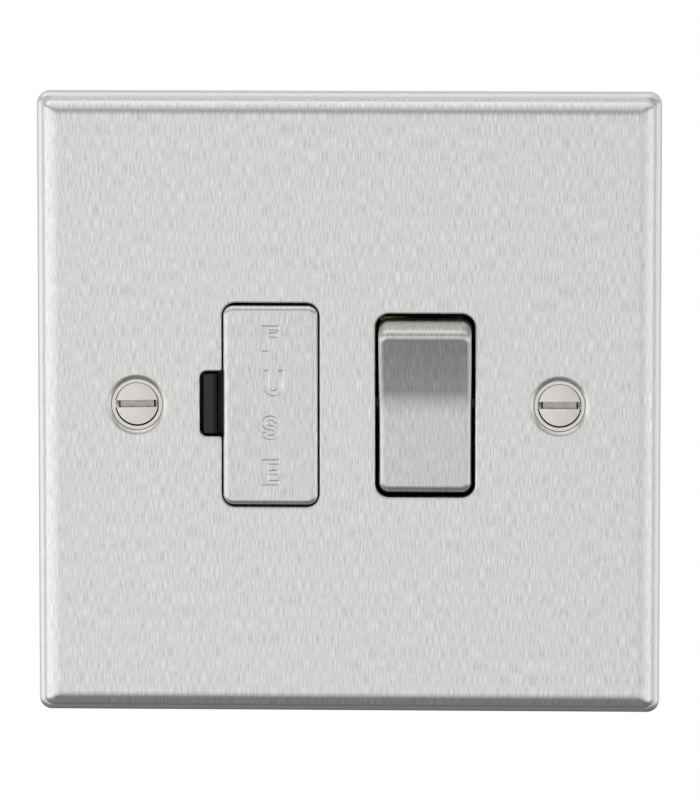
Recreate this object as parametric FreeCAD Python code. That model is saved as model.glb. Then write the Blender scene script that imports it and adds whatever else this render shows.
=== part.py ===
import FreeCAD, Part
import os
from math import cos, pi, radians, sin, sqrt, tan

# A one-gang switched fused connection unit for a wall box, in millimetres.
# The wall is the plane y = 0, the front faces -Y and +Z is up. The origin is the middle of the
# fixing screws' centres. Depths run into the wall, along +Y.

V = FreeCAD.Vector
near = 1e-4

# Front plate: one drawn sheet with a rounded lip, a narrow ledge and a rounded shoulder
plate_size = 89.1
plate_proud = 5.5
sheet = 1.0
plate_corner_r = 2.3
ledge_height = 2.9
ledge_width = 0.8
lip_edge = 0.35
shoulder_r = 2.5
shoulder_corner_spare = 0.2

# Fixing screws and the dimples that take them
fixing_pitch = 60.3
dimple_r = 4.43
dimple_lip_r = 1.0
screw_hole_r = 1.95
head_r = 3.1
head_crown = 0.55
slot_width = 1.07
slot_depth = 0.62
left_slot_turn = 1.0
neck_r = 1.6
stud_r = 1.75
stud_length = 21.0
head_seat_gap = 0.02

# Fuse carrier: a metal cap on a moulded drawer that slides straight out
fuse_x = -11.0
fuse_cap_w = 13.25
fuse_end_room = 1.4
fuse_cap_gap_x = 0.375
fuse_cap_gap_z = 0.45
fuse_cap_corner_r = 1.5
fuse_cap_edge = 0.5
fuse_cap_proud = 0.5
fuse_cap_sheet = 0.6
fuse_cap_depth = 2.6
fuse_opening_corner_r = 1.9
carrier_front_depth = 3.8
carrier_flange = 1.1
carrier_gap = 0.2
carrier_wall = 1.4
carrier_wall_half_h = 9.0
carrier_travel = 12.0
hook_reach = 0.45
hook_length = 1.2
cradle_half_h = 5.0
cradle_back = 1.4

# Notch beside the cap, where a screwdriver tip goes in, with a ledge to lever on
notch_reach = 3.15
notch_low = -4.5
notch_high = 4.78
notch_corner_r = 1.05
notch_blend_r = 0.4
notch_floor = 4.0
lever_ledge_gap = 0.4
lever_ledge_width = 1.95
lever_ledge_sunk = 0.5
lever_ledge_chamfer = 0.5
lever_ledge_r = 0.4

# Cartridge fuse, upright behind the cap
fuse_length = 25.4
fuse_end_r = 3.175
fuse_tube_r = 2.95
fuse_end_length = 5.5
fuse_end_wall = 0.3
fuse_front_gap = 0.6
cradle_gap = 0.1

# Rocker: two flats in a shallow valley, with ends concentric about its pins
rocker_x = 11.0
rocker_opening_w = 14.2
rocker_opening_h = 26.3
rocker_opening_corner_r = 1.95
rocker_w = 13.2
rocker_half_angle = 8.5
rocker_half_length = 11.35
rocker_pivot_sunk = 3.7
rocker_valley_height = 4.0
rocker_valley_r = 25.0
rocker_end_edge_r = 1.0
rocker_side_edge = 0.45
rocker_sheet = 0.5
rocker_cap_low = 1.4
dolly_low = -0.6
dolly_wall = 1.5
pin_r = 1.2
pin_reach = 1.4
pin_gap = 0.05
pin_end_gap = 0.2

# Plungers and springs, which tip the contact arms
pole_spacing = 6.8
plunger_r = 1.5
plunger_top = -1.5
plunger_shoulder = -7.6
plunger_tip = 0.7
plunger_hole_r = 1.05
plunger_floor = -6.5
guide_wall = 0.65
guide_top = 3.2
guide_low = -6.0
guide_bore_top = 2.8
rocker_bay_h = 24.0
sliding_gap = 0.05
spring_r = 0.78
spring_wire = 0.16
spring_pitch = 1.8
spring_flats = 8

# Contact arms, their supports and the fixed contacts
arm_pivot_depth = 9.0
arm_width = 3.0
arm_sheet = 0.8
arm_top = 10.0
arm_bottom = 5.5
arm_pin_r = 0.7
arm_pin_reach = 1.2
tip_gap = 0.12
pad_width = 2.2
pad_height = 0.6
pad_z = 8.6
contact_gap = 0.15
support_half_h = 2.2
support_rise = 0.6
support_gap = 0.2
strip = 0.8
strip_width = 3.0
fixed_strip_rise = 3.0
pad_root = 0.15

# Conductors of the fuse
clip_sheet = 0.5
clip_gap = 0.05
clip_low = 8.0
clip_high = 11.8
clip_lead_in = 1.1
clip_flare = 0.6
clip_floor_gap = 0.6
cross_strip_low = 10.0
riser_x = -2.6

# Terminals: brass blocks with a wire bore towards the edge and a screw from the back
terminal_x = (-11.0, 3.6, 18.4)
terminal_w = 8.0
terminal_height = 10.0
terminal_thickness = 9.0
terminal_z = 17.0
wire_bore_r = 2.25
wire_bore_length = 8.5
wire_bore_wall = 1.6
terminal_thread_r = 1.5
terminal_screw_r = 1.42
terminal_screw_length = 5.4
terminal_screw_back_off = 0.25
screw_way = 4.4
pocket_gap = 0.1
lead_tab = 3.0

# Earth strap
earth_strap_x = (0.0, 2.4)
earth_strap_depth = 8.0
earth_run_low = 14.9
earth_run_high = 16.2
earth_tab_width = 2.5
plate_leg_z = -9.0
channel_gap = 0.15

# Moulded body
body_screw_gap = 3.4
body_h = 56.0
body_corner_r = 2.0
split_depth = 2.0
arm_room = 7.0
floor_wall = 3.0
insert_edge_gap = 0.25
insert_thickness = 1.5
insert_corner_r = 1.1
insert_screw_clear = 0.8
barrier = 0.8
barrier_height = 4.5

# Screws that hold the two mouldings together
assembly_x = 21.5
assembly_z = 11.5
assembly_r = 1.2
assembly_gap = 0.1
assembly_head_r = 2.2
assembly_head = 1.4
assembly_reach = 3.0

# Sizes that follow from the ones above
face_y = -plate_proud
sheet_back_y = face_y + sheet
ledge_y = -ledge_height
shoulder_size = plate_size - 2 * ledge_width
shoulder_corner_r = shoulder_r + shoulder_corner_spare
insert_size = shoulder_size - 2 * (shoulder_r + insert_edge_gap)
screw_x = fixing_pitch / 2
mouth_r = dimple_r - dimple_lip_r * sin(radians(45))
mouth_depth = dimple_lip_r * (1 - cos(radians(45)))
hole_depth = mouth_depth + mouth_r - screw_hole_r
head_rim_depth = mouth_depth + mouth_r - head_r - head_seat_gap

fuse_cap_h = fuse_length + 2 * fuse_end_room
fuse_opening_w = fuse_cap_w + 2 * fuse_cap_gap_x
fuse_opening_h = fuse_cap_h + 2 * fuse_cap_gap_z
fuse_opening_left = fuse_x - fuse_opening_w / 2
fuse_cap_y = face_y - fuse_cap_proud
carrier_back_y = fuse_cap_y + carrier_front_depth
carrier_outer = fuse_opening_w / 2 - carrier_gap
hook_y = split_depth + carrier_travel
carrier_end_y = hook_y + hook_length
fuse_y = carrier_back_y + fuse_front_gap + fuse_end_r
cradle_y = fuse_y + fuse_end_r + cradle_gap
clip_floor_y = fuse_y + fuse_end_r + clip_floor_gap
clip_inner = fuse_end_r + clip_gap
bay_floor_y = clip_floor_y + strip

pivot_y = face_y + rocker_pivot_sunk
half_angle = radians(rocker_half_angle)
rocker_end_height = rocker_valley_height + rocker_half_length * tan(half_angle)
rocker_end_r = sqrt(rocker_half_length**2 + rocker_end_height**2)
pole_x = (rocker_x - pole_spacing / 2, rocker_x + pole_spacing / 2)
plunger_reach = arm_pivot_depth - arm_sheet - pivot_y - tip_gap
support_inner = arm_width / 2 + support_gap
support_outer = support_inner + strip
support_front_y = arm_pivot_depth - support_rise
fixed_strip_depth = arm_pivot_depth + fixed_strip_rise
floor_depth = arm_pivot_depth + arm_room
body_depth = floor_depth + floor_wall
body_w = fixing_pitch - 2 * (stud_r + body_screw_gap)
strip_y = floor_depth - strip
terminal_front_y = floor_depth - terminal_thickness
wire_y = terminal_front_y + wire_bore_wall + wire_bore_r
screw_z = terminal_z + terminal_height / 2


def about(centre, half):
    """The pair of values at a distance either side of a centre."""
    return (centre - half, centre + half)


def grown(pair, gap):
    """The same pair moved apart by a gap at each end."""
    return (pair[0] - gap, pair[1] + gap)


def mirrored(pair, side):
    """The pair on the side of zero that the sign names."""
    return tuple(sorted((pair[0] * side, pair[1] * side)))


def box(x, y, z):
    return Part.makeBox(x[1] - x[0], y[1] - y[0], z[1] - z[0], V(x[0], y[0], z[0]))


def rod(start, direction, length, r):
    return Part.makeCylinder(r, length, V(*start), V(*direction))


def join(shapes):
    """One clean solid from pieces that meet or overlap."""
    return shapes[0].fuse(shapes[1:]).removeSplitter()


def straight_along(shape, axis):
    """The straight edges of a shape that run along an axis."""
    wanted = V(*axis)
    found = []
    for edge in shape.Edges:
        if edge.Curve.TypeId == "Part::GeomLine" and abs(edge.Curve.Direction.dot(wanted)) > 0.999:
            found.append(edge)
    return found


def rounded_block(x, y, z, r):
    """A block whose four edges along Y are rounded."""
    block = box(x, y, z)
    return block.makeFillet(r, straight_along(block, (0, 1, 0)))


def in_plane(shape, y):
    """The edges that lie in the plane at y."""
    found = []
    for edge in shape.Edges:
        b = edge.BoundBox
        if abs(b.YMin - y) < near and abs(b.YMax - y) < near:
            found.append(edge)
    return found


def turned(outline, x):
    """A solid of revolution about the line along Y at x, from a closed outline in the plane z = 0."""
    solid = Part.Face(Part.makePolygon(outline)).revolve(V(0, 0, 0), V(0, 1, 0), 360)
    solid.translate(V(x, 0, 0))
    return solid


def line(a, b):
    return Part.LineSegment(a, b).toShape()


def flat_face(points):
    """A flat face with corners at the points."""
    return Part.Face(Part.makePolygon(points + points[:1]))


def below_face(r, depth):
    """A point of a turned outline: its radius, and its depth under the plate's face."""
    return V(r, face_y + depth, 0)


def opening_cutters(y):
    """The two openings of the front, with the notch joined to the left one, over a span of y."""
    fuse = rounded_block(
        about(fuse_x, fuse_opening_w / 2), y, about(0, fuse_opening_h / 2), fuse_opening_corner_r
    )
    notch_x = (fuse_opening_left - notch_reach, fuse_x)
    notch = rounded_block(notch_x, y, (notch_low, notch_high), notch_corner_r)
    rocker = rounded_block(
        about(rocker_x, rocker_opening_w / 2), y, about(0, rocker_opening_h / 2), rocker_opening_corner_r
    )
    left = join([fuse, notch])
    inner = []
    for edge in straight_along(left, (0, 1, 0)):
        at = edge.Vertexes[0]
        if abs(at.X - fuse_opening_left) < near and notch_low - near < at.Z < notch_high + near:
            inner.append(edge)
    return left.makeFillet(notch_blend_r, inner), rocker


def dimple_space(x):
    """The rolled lip, the cone and the hole for one fixing screw, as the space that they leave."""
    outline = [
        (0, -sheet),
        (dimple_r, -sheet),
        (dimple_r, 0),
        (mouth_r, mouth_depth),
        (screw_hole_r, hole_depth),
        (screw_hole_r, hole_depth + sheet),
        (0, hole_depth + sheet),
        (0, -sheet),
    ]
    return turned([below_face(*p) for p in outline], x)


def dimple_wall(x):
    """The sheet that was pushed back round the countersink, as a solid cone."""
    slant = sheet * sqrt(2)
    front_depth = sheet / 2
    front_r = mouth_r + mouth_depth + slant - front_depth
    back_r = front_r - (hole_depth - front_depth)
    outline = [(0, front_depth), (front_r, front_depth), (back_r, hole_depth), (0, hole_depth)]
    return turned([below_face(*p) for p in outline + outline[:1]], x)


def front_plate():
    """The drawn metal plate with its two openings and two countersunk dimples."""
    skirt = rounded_block(about(0, plate_size / 2), (ledge_y, 0), about(0, plate_size / 2), plate_corner_r)
    skirt = skirt.makeChamfer(lip_edge, in_plane(skirt, ledge_y))
    half = shoulder_size / 2
    raised = rounded_block(about(0, half), (face_y, 0), about(0, half), shoulder_corner_r)
    raised = raised.makeFillet(shoulder_r, in_plane(raised, face_y))
    plate = join([skirt, raised])
    inner = plate_size / 2 - sheet
    hollow = rounded_block(about(0, inner), (ledge_y + sheet, sheet), about(0, inner), plate_corner_r - sheet)
    inner = half - sheet
    deep = rounded_block(about(0, inner), (sheet_back_y, sheet), about(0, inner), shoulder_corner_r - sheet)
    deep = deep.makeChamfer((shoulder_r - sheet) / 2, in_plane(deep, sheet_back_y))
    plate = plate.cut(hollow).cut(deep)
    plate = join([plate] + [dimple_wall(x) for x in (-screw_x, screw_x)])
    for x in (-screw_x, screw_x):
        plate = plate.cut(dimple_space(x))
    for cutter in opening_cutters((face_y - sheet, sheet_back_y + sheet)):
        plate = plate.cut(cutter)
    return plate


def fixing_screw(x, turn):
    """A raised countersunk screw with one slot, whose shank stands out behind the plate."""
    crown = below_face(0, head_rim_depth - head_crown)
    outline = [
        crown,
        below_face(head_r, head_rim_depth),
        below_face(neck_r, head_rim_depth + head_r - neck_r),
        V(neck_r, 0, 0),
        V(stud_r, 0, 0),
        V(stud_r, stud_length, 0),
        V(0, stud_length, 0),
        crown,
    ]
    screw = turned(outline, x)
    slot_y = face_y + head_rim_depth + slot_depth
    slot = box(about(x, 2 * head_r), (face_y - sheet, slot_y), about(0, slot_width / 2))
    slot.rotate(V(x, 0, 0), V(0, 1, 0), turn)
    return screw.cut(slot)


def fuse_block(margin, y, r):
    """A rounded block on the fuse cap's outline, made smaller all round by a margin."""
    x = about(fuse_x, fuse_cap_w / 2 - margin)
    return rounded_block(x, y, about(0, fuse_cap_h / 2 - margin), r)


def fuse_cap():
    """The drawn metal cap on the front of the fuse carrier."""
    cap_end = fuse_cap_y + fuse_cap_depth
    cap = fuse_block(0, (fuse_cap_y, cap_end), fuse_cap_corner_r)
    cap = cap.makeChamfer(fuse_cap_edge, in_plane(cap, fuse_cap_y))
    y = (fuse_cap_y + fuse_cap_sheet, cap_end + sheet)
    return cap.cut(fuse_block(fuse_cap_sheet, y, fuse_cap_corner_r - fuse_cap_sheet))


def fuse_carrier():
    """The drawer: front block, flange, two guide walls with hooks, and a cradle open to the left."""
    margin = fuse_cap_sheet
    front_y = (fuse_cap_y + fuse_cap_sheet, carrier_back_y)
    front = fuse_block(margin, front_y, fuse_cap_corner_r - fuse_cap_sheet)
    flange_y = (carrier_back_y - carrier_flange, carrier_back_y)
    flange = rounded_block(
        about(fuse_x, carrier_outer), flange_y, about(0, fuse_opening_h / 2 - carrier_gap), fuse_cap_corner_r
    )
    height = about(0, carrier_wall_half_h)
    right_x = (fuse_x + carrier_outer - carrier_wall, fuse_x + carrier_outer)
    left_x = (fuse_x - carrier_outer, fuse_x - carrier_outer + carrier_wall)
    right = box(right_x, (carrier_back_y - carrier_flange, carrier_end_y), height)
    left = box(left_x, (cradle_y, carrier_end_y), height)
    back = box((left_x[0], right_x[1]), (cradle_y, cradle_y + cradle_back), about(0, cradle_half_h))
    saddle = box((fuse_x, right_x[0] + carrier_wall / 2), (carrier_back_y, cradle_y), about(0, cradle_half_h))
    hook_span = (hook_y, carrier_end_y)
    hooks = [
        box((right_x[1] - carrier_wall / 2, right_x[1] + hook_reach), hook_span, height),
        box((left_x[0] - hook_reach, left_x[0] + carrier_wall / 2), hook_span, height),
    ]
    body = join([front, flange, right, left, back, saddle] + hooks)
    seat = rod((fuse_x, fuse_y, -fuse_length), (0, 0, 1), 2 * fuse_length, fuse_tube_r + cradle_gap)
    return body.cut(seat)


def fuse_tube():
    """The filled ceramic body of the cartridge fuse."""
    half = fuse_length / 2 - fuse_end_wall
    return rod((fuse_x, fuse_y, -half), (0, 0, 1), 2 * half, fuse_tube_r)


def fuse_end_cap(side):
    """A brass cup pressed on one end of the fuse tube; side is 1 at the top and -1 at the bottom."""
    start = (fuse_x, fuse_y, side * (fuse_length / 2 - fuse_end_length))
    cup = rod(start, (0, 0, side), fuse_end_length, fuse_end_r)
    return cup.cut(rod(start, (0, 0, side), fuse_end_length - fuse_end_wall, fuse_tube_r))


def clip(side, run):
    """A sprung clip round one end of the fuse, on its strip; its jaws open to the front."""
    height = mirrored((clip_low, clip_high), side)
    leaf_y = (fuse_y - fuse_end_r + clip_lead_in, clip_floor_y + strip / 2)
    pieces = list(run)
    for hand in (-1, 1):
        inner = fuse_x + hand * clip_inner
        outer = inner + hand * clip_sheet
        tip_y = leaf_y[0] - clip_lead_in + clip_gap
        pieces.append(box(tuple(sorted((inner, outer))), leaf_y, height))
        corners = [
            V(inner, leaf_y[0], height[0]),
            V(outer, leaf_y[0], height[0]),
            V(outer + hand * clip_flare, tip_y, height[0]),
            V(inner + hand * clip_flare, tip_y, height[0]),
            V(inner, leaf_y[0], height[0]),
        ]
        flare = Part.Face(Part.makePolygon(corners)).extrude(V(0, 0, height[1] - height[0]))
        pieces.append(flare)
    base_x = about(fuse_x, clip_inner + clip_sheet)
    pieces.append(box(base_x, (clip_floor_y, bay_floor_y), height))
    return join(pieces)


def supply_clip_run():
    """The strip from the riser in the middle wall to the upper clip."""
    x = (fuse_x - clip_inner - clip_sheet, riser_x)
    return [box(x, (clip_floor_y, bay_floor_y), (cross_strip_low, cross_strip_low + strip_width))]


def load_clip_run():
    """The strip from the lower clip down to the load terminal, with a tab on the brass."""
    x = about(fuse_x, strip_width / 2)
    flat = box(x, (clip_floor_y, bay_floor_y), (-terminal_z, -clip_low))
    tab = box(x, (clip_floor_y, terminal_front_y + lead_tab), (-terminal_z, strip - terminal_z))
    return [flat, tab]


def live_run():
    """The strip from the live contact support, up the switch bay and forward to the fuse clip."""
    across = (cross_strip_low, cross_strip_low + strip_width)
    up = box(about(pole_x[0], strip_width / 2), (strip_y, floor_depth), (0, across[1]))
    over = box((riser_x, pole_x[0]), (strip_y, floor_depth), across)
    riser = box((riser_x, riser_x + strip), (clip_floor_y, floor_depth), across)
    return [up, over, riser]


def neutral_run():
    """The strip from the neutral contact support down to the load terminal."""
    return [box(about(pole_x[1], strip_width / 2), (strip_y, floor_depth), (-terminal_z, 0))]


def contact_support(x, run):
    """A bracket with two notched cheeks that carry a contact arm's pins."""
    height = about(0, support_half_h)
    pieces = [box(about(x, support_outer), (strip_y, floor_depth), height)]
    for hand in (-1, 1):
        cheek_x = sorted((x + hand * support_inner, x + hand * support_outer))
        pieces.append(box(tuple(cheek_x), (support_front_y, floor_depth), height))
    bracket = join(pieces + run)
    notch_r = arm_pin_r + pin_gap
    width = 2 * support_outer
    notch = rod((x - support_outer, arm_pivot_depth, 0), (1, 0, 0), width, notch_r)
    mouth = box(about(x, support_outer), (support_front_y - strip, arm_pivot_depth), about(0, notch_r))
    return bracket.cut(notch).cut(mouth)


def at_rest(shape, pivot_depth, angle):
    """Tip a shape that was drawn level about the line along X through a pivot."""
    shape.rotate(V(0, pivot_depth, 0), V(1, 0, 0), angle)
    return shape


def contact_pad(x, start, length):
    """A square contact pad that stands along the level arm's depth, from a start."""
    return box(about(x, pad_width / 2), (start, start + length), about(pad_z, pad_width / 2))


def contact_arm(x):
    """A see-saw arm with its pivot pin and its contact pad, tipped with the top end inwards."""
    blade_y = (arm_pivot_depth - arm_sheet, arm_pivot_depth)
    blade = box(about(x, arm_width / 2), blade_y, (-arm_bottom, arm_top))
    reach = arm_width / 2 + arm_pin_reach
    pin = rod((x - reach, arm_pivot_depth, 0), (1, 0, 0), 2 * reach, arm_pin_r)
    pad = contact_pad(x, arm_pivot_depth - arm_sheet / 2, arm_sheet / 2 + pad_height)
    return at_rest(join([blade, pin, pad]), arm_pivot_depth, -rocker_half_angle)


def fixed_contact(x):
    """The strip from a supply terminal, with the pad that a contact arm closes on."""
    y = (fixed_strip_depth, fixed_strip_depth + strip)
    blade = box(about(x, strip_width / 2), y, (pad_z - pad_width / 2 - strip, terminal_z))
    start = arm_pivot_depth + pad_height + contact_gap
    length = fixed_strip_depth + strip / 2 - start - pad_z * sin(half_angle) + pad_root
    pad = at_rest(contact_pad(x, start, length), arm_pivot_depth, -rocker_half_angle)
    return join([blade, pad])


def rocker_profile(inset, low, half_width):
    """The rocker's section carried along X: end arcs about the pivot, two flats and a valley between."""
    end_r = rocker_end_r - inset
    slope = tan(half_angle)
    valley = rocker_valley_height - inset / cos(half_angle)
    corner_z = (-valley * slope + sqrt(end_r**2 * (1 + slope**2) - valley**2)) / (1 + slope**2)
    corner_h = valley + corner_z * slope
    blend_r = rocker_valley_r + inset
    blend_z = blend_r * sin(half_angle)
    blend_h = valley + blend_r * (1 / cos(half_angle) - cos(half_angle))
    middle_h = valley + blend_r * (1 / cos(half_angle) - 1)
    low_z = sqrt(end_r**2 - low**2)
    between_h = (low + corner_h) / 2
    between_z = sqrt(end_r**2 - between_h**2)

    def point(z, height):
        return V(rocker_x - half_width, pivot_y - height, z)

    edges = [
        line(point(-low_z, low), point(low_z, low)),
        Part.Arc(point(low_z, low), point(between_z, between_h), point(corner_z, corner_h)).toShape(),
        line(point(corner_z, corner_h), point(blend_z, blend_h)),
        Part.Arc(point(blend_z, blend_h), point(0, middle_h), point(-blend_z, blend_h)).toShape(),
        line(point(-blend_z, blend_h), point(-corner_z, corner_h)),
        Part.Arc(point(-corner_z, corner_h), point(-between_z, between_h), point(-low_z, low)).toShape(),
    ]
    solid = Part.Face(Part.Wire(edges)).extrude(V(2 * half_width, 0, 0))
    corner_y = pivot_y - corner_h
    edge_r = rocker_end_edge_r - inset
    ends = [e for e in straight_along(solid, (1, 0, 0)) if abs(e.Vertexes[0].Y - corner_y) < near]
    return solid.makeFillet(edge_r, ends)


def rocker_cap():
    """The drawn metal cap of the rocker, at the rest tilt with the top end out."""
    half = rocker_w / 2
    outer = rocker_profile(0, rocker_cap_low, half)
    low_y = pivot_y - rocker_cap_low
    sides = []
    for edge in outer.Edges:
        b = edge.BoundBox
        on_side = abs(b.XMax - b.XMin) < near
        if on_side and abs(b.YMin - low_y) > near:
            sides.append(edge)
    outer = outer.makeChamfer(rocker_side_edge, sides)
    inner = rocker_profile(rocker_sheet, rocker_cap_low - sheet, half - rocker_sheet)
    return at_rest(outer.cut(inner), pivot_y, rocker_half_angle)


def from_pivot(x, start, end, r):
    """A rod square to the rocker, between two heights over its pivot."""
    return rod((x, pivot_y - start, 0), (0, 1, 0), start - end, r)


def rocker_dolly():
    """The moulded rocker inside the metal cap, with its pins and the two plunger guides."""
    half = rocker_w / 2 - rocker_sheet
    body = rocker_profile(rocker_sheet, dolly_low, half)
    end_z = rocker_end_r - rocker_sheet - 2 * dolly_wall
    top_y = pivot_y - (rocker_valley_height - rocker_sheet - dolly_wall)
    hollow = box(about(rocker_x, half - dolly_wall), (top_y, pivot_y - dolly_low + sheet), about(0, end_z))
    body = body.cut(hollow)
    reach = rocker_opening_w / 2 + pin_reach
    root = half - dolly_wall / 2
    pins = []
    for hand in (-1, 1):
        pins.append(rod((rocker_x + hand * root, pivot_y, 0), (hand, 0, 0), reach - root, pin_r))
    bore_r = plunger_r + sliding_gap
    guide = bore_r + guide_wall
    guide_y = (pivot_y - guide_top, pivot_y - guide_low)
    guides = [box(about(x, guide), guide_y, about(0, guide)) for x in pole_x]
    dolly = join([body] + pins + guides)
    for x in pole_x:
        dolly = dolly.cut(from_pivot(x, guide_bore_top, guide_low - sheet, bore_r))
    return at_rest(dolly, pivot_y, rocker_half_angle)


def plunger(x):
    """A hollow plunger with a chisel nose across the arm, which slides in its guide."""
    body = from_pivot(x, plunger_top, -plunger_reach, plunger_r)
    for side in (-1, 1):
        corners = [
            V(x - plunger_r, pivot_y - plunger_shoulder, side * plunger_r),
            V(x - plunger_r, pivot_y + plunger_reach, side * plunger_tip),
            V(x - plunger_r, pivot_y + plunger_reach, side * plunger_r),
        ]
        body = body.cut(flat_face(corners).extrude(V(2 * plunger_r, 0, 0)))
    body = body.cut(from_pivot(x, plunger_top, plunger_floor, plunger_hole_r))
    return at_rest(body, pivot_y, rocker_half_angle)


def spring(x):
    """The coil spring between a guide's blind end and its plunger, from flat stretches of square wire."""
    length = guide_bore_top - plunger_floor - 2 * spring_wire
    steps = round(length / spring_pitch * spring_flats)
    rings = []
    for i in range(steps + 1):
        turn = 2 * pi * i / spring_flats
        height = guide_bore_top - spring_wire - length * i / steps
        ring = []
        for out, up in ((0, -1), (1, 0), (0, 1), (-1, 0)):
            r = spring_r + out * spring_wire
            ring.append(V(x + r * cos(turn), pivot_y - height + up * spring_wire, r * sin(turn)))
        rings.append(ring)
    faces = [flat_face(rings[0]), flat_face(rings[-1])]
    for ring, after in zip(rings, rings[1:]):
        for k in range(len(ring)):
            j = (k + 1) % len(ring)
            faces.append(flat_face([ring[k], ring[j], after[j]]))
            faces.append(flat_face([ring[k], after[j], after[k]]))
    coil = Part.Solid(Part.Shell(faces))
    return at_rest(coil, pivot_y, rocker_half_angle)


def terminal(x, side):
    """A brass block: a blind wire bore from the edge, and a threaded hole into it from the back."""
    block = box(
        about(x, terminal_w / 2),
        (terminal_front_y, floor_depth),
        mirrored((terminal_z, terminal_z + terminal_height), side),
    )
    mouth = side * (terminal_z + terminal_height)
    wire = rod((x, wire_y, mouth), (0, 0, -side), wire_bore_length, wire_bore_r)
    thread = rod((x, wire_y, side * screw_z), (0, 1, 0), floor_depth - wire_y, terminal_thread_r)
    return block.cut(wire).cut(thread)


def terminal_places():
    """The middle of each terminal: its x, and its side, 1 for the supply row and -1 for the load row."""
    return [(x, side) for side in (1, -1) for x in terminal_x]


def terminal_screws():
    """The six headless terminal screws, backed off so that the wire bores are clear."""
    tip_y = wire_y + wire_bore_r + terminal_screw_back_off
    screws = []
    for x, side in terminal_places():
        start = (x, tip_y, side * screw_z)
        screws.append(rod(start, (0, 1, 0), terminal_screw_length, terminal_screw_r))
    return Part.makeCompound(screws)


def assembly_places():
    """The two corners, one across from the other, where the mouldings are screwed together."""
    return [(-assembly_x, assembly_z), (assembly_x, -assembly_z)]


def assembly_screws():
    """The two screws that hold the rear base to the front moulding."""
    tip_y = split_depth - assembly_reach
    screws = []
    for x, z in assembly_places():
        shank = rod((x, tip_y, z), (0, 1, 0), body_depth - tip_y, assembly_r)
        screws.append(join([shank, rod((x, body_depth, z), (0, 1, 0), assembly_head, assembly_head_r)]))
    return Part.makeCompound(screws)


def earth_pieces(gap):
    """The earth strap's straight stretches, each made larger all round by a gap."""
    y = grown((earth_strap_depth, earth_strap_depth + strip), gap)
    x = grown(earth_strap_x, gap)
    first = terminal_x[0] + terminal_w / 2
    upright = box(x, y, (-terminal_z, earth_run_high + gap))
    run = box((first - earth_tab_width - gap, x[1]), y, grown((earth_run_low, earth_run_high), gap))
    tab = box(grown((first - earth_tab_width, first), gap), y, (earth_run_low - gap, terminal_z))
    leg = box(x, (sheet_back_y, y[1]), grown((plate_leg_z, plate_leg_z + strip), gap))
    return [upright, run, tab, leg]


def earth_strap():
    """One strap that joins both earth terminals and reaches forward to touch the metal plate."""
    return join(earth_pieces(0))


def front_moulding():
    """The black moulding behind the plate: a flat insert, the two bays, the lever ledge and bearings."""
    half = insert_size / 2
    insert_y = (sheet_back_y, sheet_back_y + insert_thickness)
    insert = rounded_block(about(0, half), insert_y, about(0, half), insert_corner_r)
    for x in (-screw_x, screw_x):
        clear = dimple_r + insert_screw_clear
        insert = insert.cut(box(about(x, clear), grown(insert_y, sheet), about(0, clear)))
    block = rounded_block(
        about(0, body_w / 2), (sheet_back_y, split_depth), about(0, body_h / 2), body_corner_r
    )
    moulding = join([insert, block])
    fuse_bay, rocker_bay = opening_cutters((sheet_back_y - sheet, split_depth + sheet))
    notch_fill = box(
        (fuse_opening_left - notch_reach - sheet, fuse_opening_left),
        (face_y + notch_floor, split_depth),
        grown((notch_low, notch_high), sheet),
    )
    moulding = moulding.cut(fuse_bay.cut(notch_fill)).cut(rocker_bay)
    moulding = join([moulding, lever_ledge()])
    reach = rocker_opening_w / 2 + pin_reach + pin_end_gap
    moulding = moulding.cut(rod((rocker_x - reach, pivot_y, 0), (1, 0, 0), 2 * reach, pin_r + pin_gap))
    for x, z in assembly_places():
        tip_y = split_depth - assembly_reach - assembly_gap
        moulding = moulding.cut(rod((x, tip_y, z), (0, 1, 0), body_depth, assembly_r + assembly_gap))
    return moulding.cut(join(earth_pieces(channel_gap)))


def lever_ledge():
    """The ledge in the notch, with a slope towards the cap and a rounded outer edge."""
    left = fuse_opening_left - notch_reach + lever_ledge_gap
    right = left + lever_ledge_width
    top = face_y + lever_ledge_sunk
    foot = face_y + notch_floor + sheet / 2
    z = (notch_low + lever_ledge_gap, notch_high - lever_ledge_gap)
    corners = [
        V(left, foot, z[0]),
        V(left, top, z[0]),
        V(right - lever_ledge_chamfer, top, z[0]),
        V(right, top + lever_ledge_chamfer, z[0]),
        V(right, foot, z[0]),
        V(left, foot, z[0]),
    ]
    ledge = Part.Face(Part.makePolygon(corners)).extrude(V(0, 0, z[1] - z[0]))
    outer = []
    for edge in straight_along(ledge, (0, 0, 1)):
        at = edge.Vertexes[0]
        if abs(at.X - left) < near and abs(at.Y - top) < near:
            outer.append(edge)
    return ledge.makeFillet(lever_ledge_r, outer)


def wall_slot(side):
    """The deep slot that guides one wall of the fuse carrier; side is 1 on the right."""
    inner = carrier_outer - carrier_wall - carrier_gap
    outer = carrier_outer + hook_reach + carrier_gap
    x = tuple(sorted((fuse_x + side * inner, fuse_x + side * outer)))
    height = about(0, carrier_wall_half_h + carrier_gap)
    return box(x, (split_depth - sheet, carrier_end_y + carrier_gap), height)


def grown_box(shape, gap):
    """The box round a straight strip, made larger all round by a gap."""
    b = shape.BoundBox
    return box(grown((b.XMin, b.XMax), gap), grown((b.YMin, b.YMax), gap), grown((b.ZMin, b.ZMax), gap))


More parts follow.
